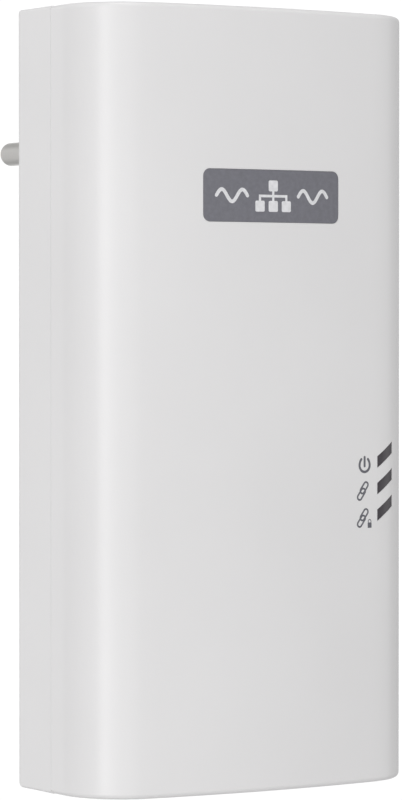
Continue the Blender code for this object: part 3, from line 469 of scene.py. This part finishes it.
def rear_block(name, inset, front_y):
    """The rear cover's form, whose two ends are chopped off at a slope towards the back."""
    form = prism(name, rear_outline(inset, front_y), BOTTOM_Z + inset, CASE_HIGH.z - inset, "XY")
    bm = bmesh.new()
    bm.from_mesh(form.data)
    for side, drop in ((1, TOP_TAPER), (-1, BOTTOM_TAPER)):
        normal = Vector((0, drop, side * (BACK_Y - TAPER_Y))).normalized()
        crease = Vector((0, TAPER_Y, MIDDLE_Z + side * HEIGHT / 2))
        chop = bmesh.ops.bisect_plane(
            bm,
            geom=[*bm.verts, *bm.edges, *bm.faces],
            dist=0.0000001,
            plane_co=crease - inset * normal,
            plane_no=normal,
            clear_outer=True,
        )
        rim = [item for item in chop["geom_cut"] if isinstance(item, bmesh.types.BMEdge)]
        bmesh.ops.holes_fill(bm, edges=rim)
    bmesh.ops.recalc_face_normals(bm, faces=bm.faces)
    bm.to_mesh(form.data)
    bm.free()
    return form


def rounded_rectangle(centre, size, radius, steps=8):
    (x, y), (wide, high) = centre, size
    dx, dy = wide / 2 - radius, high / 2 - radius
    corners = ((dx, dy, 0), (-dx, dy, 90), (-dx, -dy, 180), (dx, -dy, 270))
    points = []
    for cx, cy, turn in corners:
        points += arc((x + cx, y + cy), radius, turn, turn + 90, steps)
    return points


def stroke(line, width, caps=8):
    """The outline of a round-ended stroke along a line of points."""
    line = [Vector(place) for place in line]
    left, right = [], []
    for i, place in enumerate(line):
        before = place - line[i - 1] if i else line[1] - line[0]
        after = line[i + 1] - place if i < len(line) - 1 else before
        bisector = (before.normalized() + after.normalized()).normalized()
        normal = Vector((-bisector.y, bisector.x))
        reach = width / 2 / max(0.5, normal.dot(Vector((-after.y, after.x)).normalized()))
        left.append(place + normal * reach)
        right.append(place - normal * reach)
    ends = []
    for place, along in ((line[-1], line[-1] - line[-2]), (line[0], line[0] - line[1])):
        turn = math.degrees(math.atan2(along.y, along.x))
        ends.append(arc(place, width / 2, turn + 90, turn - 90, caps)[1:-1])
    return [*(tuple(p) for p in left), *ends[0], *(tuple(p) for p in reversed(right)), *ends[1]]


# ---------------------------------------------------------------- case

CASE_SCREWS = [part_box(f"case_screw_{i}") for i in range(1, 5)]
LENSES = ["power", "link", "secure"]
WINDOW_WIDTH = 4.5 * MM
WINDOW_HEIGHT = 2.3 * MM
WINDOW_RISE = 2.8 * MM


def middle(node):
    low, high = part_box(node)
    return (low + high) / 2


# A lens's flange is the same margin wider than its window on all sides, so both share a middle.
WINDOWS = [middle(f"lens_{name}") for name in LENSES]


def window_outline(centre, grow=0.0):
    """A slanted indicator window: upright sides, and ends that climb to the right."""
    half, rise = WINDOW_WIDTH / 2 + grow, WINDOW_RISE / 2 * (1 + 2 * grow / WINDOW_WIDTH)
    tall = WINDOW_HEIGHT / 2 + grow * math.hypot(1, WINDOW_RISE / WINDOW_WIDTH)
    x, z = centre.x, centre.z
    return [
        (x - half, z - rise - tall),
        (x + half, z + rise - tall),
        (x + half, z + rise + tall),
        (x - half, z - rise + tall),
    ]


def through_front(name, outline, depth=6 * MM):
    """A cutter along Y, from in front of the case to this far behind its foremost point."""
    return prism(name, outline, -(FRONT_Y + depth), -(FRONT_Y - MM), "XZ")


def inlay(name, outline, top, bottom, holes=()):
    """A curved plate that follows the front, between two depths below its surface."""
    plate = through_front(name, outline)
    meet(plate, case_block("skin", top, SEAM_Y))
    cut(plate, case_block("core", bottom, SEAM_Y), *(through_front("hole", hole) for hole in holes))
    return plate


def front_shell():
    shell = case_block("front_shell", 0, SEAM_Y - SEAM_GAP / 2)
    round_edges(
        shell,
        1 * MM,
        5,
        lambda a, b: abs(a.z - b.z) < MM and min(a.y, b.y) < SEAM_Y - MM,
    )
    hollow = case_block("hollow", WALL, SEAM_Y + 3 * MM)
    join(shell, case_block("lip", 1.15 * MM, SEAM_Y + 1.5 * MM))
    recess = through_front("recess", badge_outline(0.06 * MM), 3 * MM)
    cut(recess, case_block("core", 0.25 * MM, SEAM_Y))
    holes = [through_front("window", window_outline(place)) for place in WINDOWS]
    pair, reset = middle("pair_button"), middle("reset_switch_plunger")
    for place, radius in ((pair, BUTTON_RADIUS + 0.12 * MM), (reset, PLUNGER_RADIUS + 0.1 * MM)):
        start = (place.x, place.y, BOTTOM_Z - MM)
        holes.append(cylinder("hole", radius, start, "Z", 4 * MM))
        holes.append(cylinder("mouth", radius + 1.3 * MM, start, "Z", 1.3 * MM, tip=radius))
    cut(shell, hollow, recess, port_hole(), *holes)
    dress(shell, "case_white", ["front_cover"])


def port_hole():
    low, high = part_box("port_shield")
    margin = Vector((0.15 * MM, 0.15 * MM, 0))
    low, high = low - margin, high + margin
    return block("port_hole", (low.x, low.y, BOTTOM_Z - MM), (high.x, high.y, BOTTOM_Z + 6 * MM))


def label_outline(grow=0.0, corner=LABEL_CORNER):
    place = middle("rating_label")
    size = (LABEL_SIZE[0] + 2 * grow, LABEL_SIZE[1] + 2 * grow)
    return rounded_rectangle((place.x, place.z), size, corner)


def screw_bores():
    """What stays solid round each case screw's bore, and what is cut out of it."""
    tubes, seats, bores = [], [], []
    for low, high in CASE_SCREWS:
        x, z = (low.x + high.x) / 2, (low.z + high.z) / 2
        seat_y = low.y + SHANK_LENGTH
        mouth = (x, BACK_Y - 0.4 * MM, z)
        tubes.append(cylinder("tube", 4 * MM, (x, BACK_Y, z), "-Y", BACK_Y - seat_y + 2.4 * MM))
        seats.append(cylinder("seat", 1.7 * MM, (x, seat_y - 4 * MM, z), "Y", 6 * MM))
        bores.append(cylinder("bore", BORE_RADIUS, (x, seat_y, z), "Y", LONG))
        bores.append(cylinder("mouth", BORE_RADIUS, mouth, "Y", 0.8 * MM, tip=3.8 * MM))
    return tubes, [*seats, *bores]


def rear_shell():
    seam_y = SEAM_Y + SEAM_GAP / 2
    shell = rear_block("rear_shell", 0, seam_y)
    round_edges(shell, 0.6 * MM, 4, lambda a, b: max(a.y, b.y) > seam_y + MM)
    hollow = rear_block("hollow", WALL, seam_y - MM)
    tubes, bores = screw_bores()
    cut(hollow, *tubes)
    rebate = case_block("rebate", 0.85 * MM, SEAM_Y + 1.8 * MM)
    opening = prism("opening", boss_outline(SMALL_GAP, False), -BACK_Y - 4 * MM, -BACK_Y + 4 * MM, "XZ")
    recess = label_outline(0.25 * MM, LABEL_CORNER + 0.2 * MM)
    label = prism("label", recess, -BACK_Y - MM, -BACK_Y + 0.3 * MM, "XZ")
    cut(shell, hollow, rebate, opening, label, port_hole(), *bores, *vents())
    dress(shell, "case_white", ["rear_cover"])


def vents():
    """Rows of round-ended slots through the two tapered sides."""
    run, rise = (WIDTH - BACK_WIDTH) / 2, BACK_Y - TAPER_Y
    lean = math.atan2(run, rise)
    slots = []
    outline = rounded_rectangle((0, 0), VENT_SIZE, 0.79 * MM, 5)
    for side in (-1, 1):
        middle_x = side * (WIDTH + BACK_WIDTH) / 4
        for row in range(VENT_ROWS):
            slot = prism("slot", outline, -3 * MM, 3 * MM, "YZ")
            place = (middle_x, (BACK_Y + TAPER_Y) / 2, VENT_TOP_Z - row * VENT_PITCH)
            slot.data.transform(placed(place, Matrix.Rotation(side * lean, 4, "Z")))
            slots.append(slot)
    return slots


# ---------------------------------------------------------------- front details

BADGE_MIDDLE = (0.6 * MM, MIDDLE_Z + 38.95 * MM)
BADGE_SIZE = (30.8 * MM, 10 * MM)
BRANCH = 3 * MM  # from the badge's middle box to its neighbours
BOX_RISE = 1.95 * MM  # from the badge's middle up or down to its boxes
BOX_SIZE = (2.1 * MM, 2.1 * MM)
PRINT_TOP = -0.012 * MM  # a printed sign stands this little above the case
PRINT_BOTTOM = 0.05 * MM
SIGN_X = 22.24 * MM


def badge_outline(grow=0.0):
    size = (BADGE_SIZE[0] + 2 * grow, BADGE_SIZE[1] + 2 * grow)
    return rounded_rectangle(BADGE_MIDDLE, size, 1.4 * MM + grow, 10)


def branches(x, z):
    """The outline of the lines that join the badge's boxes."""
    half, reach = 0.25 * MM, BOX_RISE - 0.9 * MM
    right = [(half, -reach), (half, -half), (BRANCH - half, -half), (BRANCH - half, -reach)]
    right += [(BRANCH + half, -reach), (BRANCH + half, half), (half, half), (half, reach)]
    outline = [*right, *((-px, pz) for px, pz in reversed(right))]
    return [(x + px, z + pz) for px, pz in outline]


def badge():
    """A plain grey plate with a generic sign: joined network boxes, and a wave on each side."""
    plate = inlay("badge_plate", badge_outline(), 0.03 * MM, 0.24 * MM)
    dress(plate, BADGE_GREY)
    x, z = BADGE_MIDDLE
    pieces = {}
    for name, side in (("badge_wave_left", -1), ("badge_wave_right", 1)):
        wave = []
        for i in range(49):
            t = i / 48
            wave.append((x + side * (5.8 + 6.8 * t) * MM, z + 1.15 * MM * math.sin(t * 1.5 * math.tau)))
        pieces[name] = stroke(wave, 0.7 * MM)
    for name, place in (
        ("badge_box_top", (x, z + BOX_RISE)),
        ("badge_box_left", (x - BRANCH, z - BOX_RISE)),
        ("badge_box_middle", (x, z - BOX_RISE)),
        ("badge_box_right", (x + BRANCH, z - BOX_RISE)),
    ):
        pieces[name] = rounded_rectangle(place, BOX_SIZE, 0.3 * MM, 4)
    pieces["badge_lines"] = branches(x, z)
    for name, outline in pieces.items():
        top = 0.016 * MM if name == "badge_lines" else 0.012 * MM
        dress(inlay(name, outline, top, PRINT_BOTTOM), BADGE_WHITE)


def oval(centre, size, turn, steps=40):
    """Points round a rounded link shape of this length and width, turned from upright."""
    length, width = size
    points = arc((0, (length - width) / 2), width / 2, 0, 180, steps // 2)
    points += arc((0, -(length - width) / 2), width / 2, 180, 360, steps // 2)
    c, s = math.cos(turn), math.sin(turn)
    return [(centre[0] + x * c + y * s, centre[1] - x * s + y * c) for x, y in points]


def print_sign(name, outline, top=PRINT_TOP, holes=()):
    dress(inlay(name, outline, top, PRINT_BOTTOM, holes), INK_GREY)


def link_sign(name, x, z):
    """A chain link: two slanted ovals that overlap."""
    turn = math.radians(38)
    length, width, line = 2.87 * MM, 1.42 * MM, 0.36 * MM
    for i, side in enumerate((-1, 1)):
        centre = (x + side * 0.35 * MM, z + side * 0.62 * MM)
        outer = oval(centre, (length, width), turn)
        inner = oval(centre, (length - 2 * line, width - 2 * line), turn)
        print_sign(f"{name}_{i}", outer, PRINT_TOP - 0.002 * MM * i, [inner])


def power_sign(x, z):
    """A ring that is open at the top and slightly taller there, with a bar in its opening."""
    opening = 40  # degrees from the top to each end of the ring
    ring = arc((x, z), 1.29 * MM, 90 + opening, 450 - opening, 40)
    ring = [(px, pz + 0.2 * max(0, pz - z)) for px, pz in ring]
    bar = [(x, z + 1.6 * MM), (x, z - 0.16 * MM)]
    print_sign("sign_power_ring", stroke(ring, 0.5 * MM))
    print_sign("sign_power_bar", stroke(bar, 0.5 * MM))


def lock_sign(x, z):
    """A padlock: a square body and a round shackle."""
    body = rounded_rectangle((x, z), (0.98 * MM, 1.05 * MM), 0.1 * MM, 3)
    half, foot = 0.35 * MM, z + 0.5 * MM
    shackle = [(x + half, foot), *arc((x, z + 0.75 * MM), half, 0, 180, 12), (x - half, foot)]
    print_sign("sign_lock", body)
    print_sign("sign_shackle", stroke(shackle, 0.17 * MM))


def signs():
    """The printed signs beside the windows."""
    power_sign(22.7 * MM, MIDDLE_Z - 12.95 * MM)
    link_sign("sign_link", SIGN_X, MIDDLE_Z - 17.95 * MM)
    link_sign("sign_secure", SIGN_X, MIDDLE_Z - 23.2 * MM)
    lock_sign(24 * MM, MIDDLE_Z - 24.65 * MM)


def lenses():
    """Smoked lenses that fill the windows, with their faces just below the case's surface."""
    for name, place in zip(LENSES, WINDOWS):
        node = f"lens_{name}"
        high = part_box(node)[1]
        outline = window_outline(place, -0.03 * MM)
        lens = prism(f"{node}_fine", outline, -(high.y - MM), -(FRONT_Y - MM), "XZ")
        meet(lens, case_block("skin", 0.07 * MM, SEAM_Y))
        round_edges(lens, 0.06 * MM, 2, lambda a, b: max(a.y, b.y) < FRONT_Y + 3 * MM, 35)
        dress(lens, "lens_smoke", [node])


# ---------------------------------------------------------------- plug

BOSS_RADIUS = 18.5 * MM
BOSS_FLAT = 17 * MM
EARTH_FLAT = 16 * MM
EARTH_WIDTH = 7.4 * MM
GROOVE_WIDTH = 5.4 * MM
GROOVE_DEPTH = 2.3 * MM
PIN_X = 9.5 * MM
PIN_RADIUS = 2.4 * MM
COLLAR_RADIUS = 3.6 * MM
TAIL_RADIUS = 1.1 * MM


def boss_outline(grow, grooves):
    """The plug's face: a circle with two flat sides, with or without its grooves and flats."""
    radius, flat = BOSS_RADIUS + grow, BOSS_FLAT + grow
    turn = math.degrees(math.acos(flat / radius))
    top = arc((0, 0), radius, turn, 180 - turn, 60)
    if not grooves:
        return [*top, *((-x, -y) for x, y in top)]
    half, depth = GROOVE_WIDTH / 2, flat - GROOVE_DEPTH
    clip = EARTH_WIDTH / 2
    right = [(x, y) for x, y in top if x > clip + 1.2 * MM]
    edge = math.sqrt(radius**2 - clip**2)
    side = [(depth, 0.0), (depth, half), (flat, half), *right, (clip, edge), (clip, EARTH_FLAT)]
    upper = [*side, *((-x, y) for x, y in reversed(side[1:]))]
    return [*upper, *((-x, -y) for x, y in upper)]


def plug_boss():
    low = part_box("plug_base")[0]
    boss = prism("plug_boss", boss_outline(0, True), 0, -low.y, "XZ")
    round_edges(boss, 0.9 * MM, 4, lambda a, b: min(a.y, b.y) > -MM, clamp=False)
    cutters = []
    for side in (-1, 1):
        x, hole = side * PIN_X, PIN_RADIUS + SMALL_GAP
        cutters.append(cylinder("pin_hole", hole, (x, low.y - MM, 0), "Y", LONG))
        cutters.append(cylinder("pin_mouth", hole, (x, -0.4 * MM, 0), "Y", 0.8 * MM, tip=3.2 * MM))
        z = side * EARTH_FLAT
        clip_low = (-EARTH_WIDTH / 2, low.y - MM, min(z, z + side * 8 * MM))
        clip_high = (EARTH_WIDTH / 2, BACK_Y - 2 * MM, max(z, z + side * 8 * MM))
        cutters.append(block("clip", clip_low, clip_high))
    cut(boss, *cutters)
    dress(boss, "plug_grey", ["plug_base"])


def plug_pins():
    """Domed pins with a collar inside, and a faint ring where the bare metal starts."""
    low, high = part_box("live_pin")
    radius, tip, ring = PIN_RADIUS, high.y, PIN_RADIUS - 0.12 * MM
    dome = [
        (radius * math.sin(a), tip - 2.2 * MM * (1 - math.cos(a)))
        for a in (math.radians(90 / 14 * i) for i in range(15))
    ]
    profile = [*dome, (radius, 0.35 * MM), (ring, 0.2 * MM), (ring, -MM), (radius, -1.2 * MM)]
    profile += [(radius, low.y + 6 * MM), (COLLAR_RADIUS, low.y + 5.8 * MM)]
    profile += [(COLLAR_RADIUS, low.y + 4.7 * MM), (TAIL_RADIUS, low.y + 4.6 * MM)]
    profile += [(TAIL_RADIUS, low.y), (0, low.y)]
    for name, side in (("live_pin", -1), ("neutral_pin", 1)):
        pin = turned(f"{name}_fine", profile, (side * PIN_X, 0, 0), "Y")
        dress(pin, "pin_nickel", [name])


def earth_clips():
    """Bent spring strips with a pressed rib and rounded front ends."""
    thick, half = 0.8 * MM, 3.2 * MM
    for name, side in (("earth_clip_top", 1), ("earth_clip_bottom", -1)):
        low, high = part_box(name)
        outer = max(abs(low.z), abs(high.z))
        rest = EARTH_FLAT + 0.75 * MM
        line = [(-0.9 * MM, rest - 0.1 * MM)]
        for i in range(25):
            t = i / 24
            rise = (outer - thick / 2 - rest) * math.sin(math.pi * t) ** 0.8
            line.append((-1.6 * MM - 13 * MM * t, rest + rise))
        line.append((low.y + 0.2 * MM, rest))
        outline = stroke([(y, side * z) for y, z in line], thick, caps=6)
        strip = prism(f"{name}_fine", outline, -half, half, "YZ")
        round_edges(strip, 0.15 * MM, 2, sharpest=60)
        dress(strip, "pin_nickel", [name])


# ---------------------------------------------------------------- screws


def screws():
    """Pan-head screws with a cross recess, in the four deep bores of the back."""
    head, shank, turns, pitch = 2.55 * MM, 1.3 * MM, 10, 0.9 * MM
    rises = [math.radians(angle) for angle in range(0, 81, 8)]
    for i, (low, high) in enumerate(CASE_SCREWS, 1):
        x, z = (low.x + high.x) / 2, (low.z + high.z) / 2
        seat = low.y + SHANK_LENGTH
        profile = [(head * math.sin(a), 1.9 * MM * math.cos(a)) for a in rises]
        profile += [(head, 0.25 * MM), (head, 0), (shank, 0)]
        for turn in range(turns):
            base = -MM - turn * pitch
            profile += [(shank, base), (shank - 0.3 * MM, base - pitch / 2)]
        profile += [(0.3 * MM, low.y - seat + 0.2 * MM), (0, low.y - seat)]
        screw = turned(f"case_screw_{i}_fine", profile, (x, seat, z), "Y", 32)
        slots = []
        for wide, tall in ((3.0 * MM, 0.6 * MM), (0.6 * MM, 3.0 * MM)):
            corner = Vector((wide / 2, 0, tall / 2))
            start, stop = Vector((x, seat + 0.7 * MM, z)), Vector((x, seat + 3 * MM, z))
            slots.append(block("slot", start - corner, stop + corner))
        cut(screw, join(slots[0], slots[1]))
        dress(screw, "steel", [f"case_screw_{i}"])


# ---------------------------------------------------------------- network port and buttons


def port():
    """A folded steel can with spring tabs, a stepped plastic mouth and eight gold contacts."""
    low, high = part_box("port_shield")
    x = (low.x + high.x) / 2
    shield = block("port_shield_fine", low, high)
    round_edges(shield, 0.5 * MM, 3, lambda a, b: abs(a.z - b.z) > MM)
    sheet = 0.3 * MM
    inside = block("inside", low + Vector((sheet, sheet, sheet)), high + Vector((-sheet, -sheet, MM)))
    body_low, body_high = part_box("port_housing")
    mouth = [(5.9, -44.4), (5.9, -51.2), (3.1, -51.2), (3.1, -53.0), (1.8, -53.0), (1.8, -54.2)]
    right = [(x + px * MM, py * MM) for px, py in mouth]
    outline = right + [(2 * x - px, py) for px, py in reversed(right)]
    window = block(
        "window",
        (x - 6.3 * MM, right[-1][1] - 0.4 * MM, low.z - MM),
        (x + 6.3 * MM, right[0][1] + 0.4 * MM, low.z + MM),
    )
    cut(shield, inside, window)
    round_edges(shield, 0.08 * MM, 1, lambda a, b: max(a.z, b.z) < low.z + 0.01 * MM, 60)
    dress(shield, "steel", ["port_shield"])
    for side in (-1, 1):
        edge = x + side * 8 * MM
        tab = block(
            f"port_tab_{'left' if side < 0 else 'right'}",
            (min(edge, edge - side * 0.6 * MM), -51.2 * MM, low.z + 3 * MM),
            (max(edge, edge - side * 0.6 * MM), -46.2 * MM, low.z + 9 * MM),
        )
        round_edges(tab, 0.25 * MM, 2)
        dress(tab, "steel")
    housing = block("port_housing_fine", body_low, body_high)
    cut(housing, prism("mouth", outline, body_low.z - MM, body_high.z - 3.6 * MM, "XY"))
    round_edges(housing, 0.12 * MM, 2, lambda a, b: max(a.z, b.z) < body_low.z + 0.01 * MM)
    dress(housing, "black_plastic", ["port_housing"])
    near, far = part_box("port_contacts")
    line = [
        (far.y - 0.2 * MM, near.z + 0.2 * MM),
        (far.y - 0.2 * MM, near.z + 1.4 * MM),
        (near.y + 0.2 * MM, near.z + 8.0 * MM),
        (near.y + 0.35 * MM, far.z - 0.2 * MM),
    ]
    count, pitch, half = 8, 1.02 * MM, 0.22 * MM
    for i in range(count):
        place = x + (i - (count - 1) / 2) * pitch
        sides = place - half, place + half
        wire = prism(f"port_contact_{i + 1}", stroke(line, 0.34 * MM, caps=6), *sides, "YZ")
        round_edges(wire, 0.06 * MM, 2, sharpest=60)
        dress(wire, GOLD, ["port_contacts"] if i == 0 else ())


def buttons():
    """The pairing button with its dished face, and the reset plunger behind the pinhole."""
    low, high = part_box("pair_button")
    x, y = (low.x + high.x) / 2, (low.y + high.y) / 2
    face, radius, stem, flange, round_off = low.z, BUTTON_RADIUS, 1.5 * MM, 3.3 * MM, 0.3 * MM
    profile = [(0, high.z), (stem - 0.2 * MM, high.z), (stem, high.z - 0.2 * MM), (stem, face + 3.5 * MM)]
    profile += [(flange - 0.1 * MM, face + 3.5 * MM), (flange, face + 3.4 * MM)]
    profile += [(flange, face + 2.6 * MM), (radius, face + 2.5 * MM), (radius, face + 0.4 * MM)]
    for a in (0.4, 0.8, 1.2):
        rise = round_off * (1 - math.sin(a))
        profile.append((radius - round_off + round_off * math.cos(a), face + rise))
    dish = [(2.1 * MM * i / 12, face + 0.28 * MM * (1 - (i / 12) ** 2)) for i in range(12, -1, -1)]
    cap = turned("pair_button_fine", [*profile, *dish], (x, y, 0), "Z")
    dress(cap, "plug_grey", ["pair_button"], "pair_button")
    low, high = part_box("reset_switch_plunger")
    x, y = (low.x + high.x) / 2, (low.y + high.y) / 2
    radius, edge = PLUNGER_RADIUS, 0.1 * MM
    profile = [(0, high.z), (radius - edge, high.z), (radius, high.z - edge)]
    for a in (1.57, 1.2, 0.8, 0.4, 0):
        profile.append((radius * math.sin(a), low.z + 0.3 * MM * (1 - math.cos(a))))
    plunger = turned("reset_plunger_fine", profile, (x, y, 0), "Z", 32)
    dress(plunger, "light_body", ["reset_switch_plunger"], "reset_plunger")


def rating_label():
    """A blank film label in the shallow recess of the back."""
    low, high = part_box("rating_label")
    label = prism("rating_label_fine", label_outline(), -high.y, -low.y, "XZ")
    dress(label, "label_white", ["rating_label"])


# ---------------------------------------------------------------- carried-over CAD nodes


def dress_nodes():
    """Every CAD node that still shows gets the procedural material of its slot."""
    slots = {entry["node"]: entry["material_slot"] for entry in frame["record"]["subparts"]}
    for name, obj in frame["nodes"].items():
        obj.data.materials.clear()
        obj.data.materials.append(MATERIALS[slots[name]])


# ---------------------------------------------------------------- stage


def aim(obj, target):
    obj.rotation_euler = (Vector(target) - obj.location).to_track_quat("-Z", "Y").to_euler()


SURROUND_LIGHT = 0.5
BACKDROP_LIGHT = 1.05
LAMP_DISTANCE = 1.4
FLOOR_DROP = 2.4
FLOOR_RADIUS = 6


def surround():
    """A dim even light from all round, and a plain white backdrop that only the camera sees."""
    world = bpy.data.worlds.new("studio")
    bpy.context.scene.world = world
    world.use_nodes = True
    tree = world.node_tree
    light = tree.nodes["Background"]
    light.inputs["Color"].default_value = (1, 1, 1, 1)
    light.inputs["Strength"].default_value = SURROUND_LIGHT
    backdrop = tree.nodes.new("ShaderNodeBackground")
    backdrop.inputs["Color"].default_value = (1, 1, 1, 1)
    backdrop.inputs["Strength"].default_value = BACKDROP_LIGHT
    seen = tree.nodes.new("ShaderNodeLightPath").outputs["Is Camera Ray"]
    blend = tree.nodes.new("ShaderNodeMixShader")
    tree.links.new(seen, blend.inputs[0])
    tree.links.new(light.outputs[0], blend.inputs[1])
    tree.links.new(backdrop.outputs[0], blend.inputs[2])
    tree.links.new(blend.outputs[0], tree.nodes["World Output"].inputs["Surface"])


def ground():
    """A pale floor far below, which casts no shadow, light or reflection on the object."""
    bm = bmesh.new()
    bmesh.ops.create_circle(bm, cap_ends=True, segments=96, radius=FLOOR_RADIUS)
    floor = add_mesh("floor", bm, Matrix.Translation((0, 0, BOTTOM_Z - FLOOR_DROP)))
    floor.data.materials.append(FLOOR)
    floor.visible_diffuse = False
    floor.visible_glossy = False
    floor.visible_shadow = False


def studio():
    """Soft lamps all round and one above: the strongest stands on the front's left."""
    # name: (degrees left of the front, degrees above level, width, height, watts)
    lamps = {
        "key": (60, 0, 0.37, 1.5, 5.4),
        "key_edge": (45, 0, 0.37, 1.5, 1.9),
        "front_left": (30, 0, 0.37, 1.5, 0.7),
        "front": (15, 0, 0.37, 1.5, 1.05),
        "fill": (-15, 0, 0.37, 1.5, 1.4),
        "right": (-75, 0, 0.37, 1.5, 1.1),
        "rear_left": (155, 0, 0.6, 1.5, 2.2),
        "rear": (210, 0, 0.6, 1.5, 3.5),
        "above": (20, 75, 0.9, 0.9, 5.0),
    }
    centre = Vector((0, -0.04, MIDDLE_Z))
    for name, (azimuth, rise, wide, tall, watts) in lamps.items():
        light = bpy.data.lights.new(name, "AREA")
        light.shape = "RECTANGLE"
        light.size = wide
        light.size_y = tall
        light.energy = watts
        lamp = bpy.data.objects.new(name, light)
        bpy.context.scene.collection.objects.link(lamp)
        a, h = math.radians(azimuth), math.radians(rise)
        way = Vector((-math.sin(a) * math.cos(h), -math.cos(a) * math.cos(h), math.sin(h)))
        lamp.location = centre + way * LAMP_DISTANCE
        aim(lamp, centre)


def camera():
    """From the front left, level with the case's middle."""
    data = bpy.data.cameras.new("camera")
    data.lens = 170.26
    data.sensor_width = 36
    obj = bpy.data.objects.new("camera", data)
    bpy.context.scene.collection.objects.link(obj)
    azimuth, drop, distance = 0.5582, 0.018, 0.7235
    target = Vector((-11.2 * MM, -60.4 * MM, MIDDLE_Z))
    away = Vector((-math.sin(azimuth) * math.cos(drop), -math.cos(azimuth) * math.cos(drop), math.sin(drop)))
    obj.location = target + away * distance
    aim(obj, target)
    bpy.context.scene.camera = obj


bpy.context.scene.view_settings.view_transform = "Standard"
front_shell()
rear_shell()
badge()
signs()
lenses()
plug_boss()
plug_pins()
earth_clips()
screws()
port()
buttons()
rating_label()
dress_nodes()
surround()
ground()
studio()
camera()
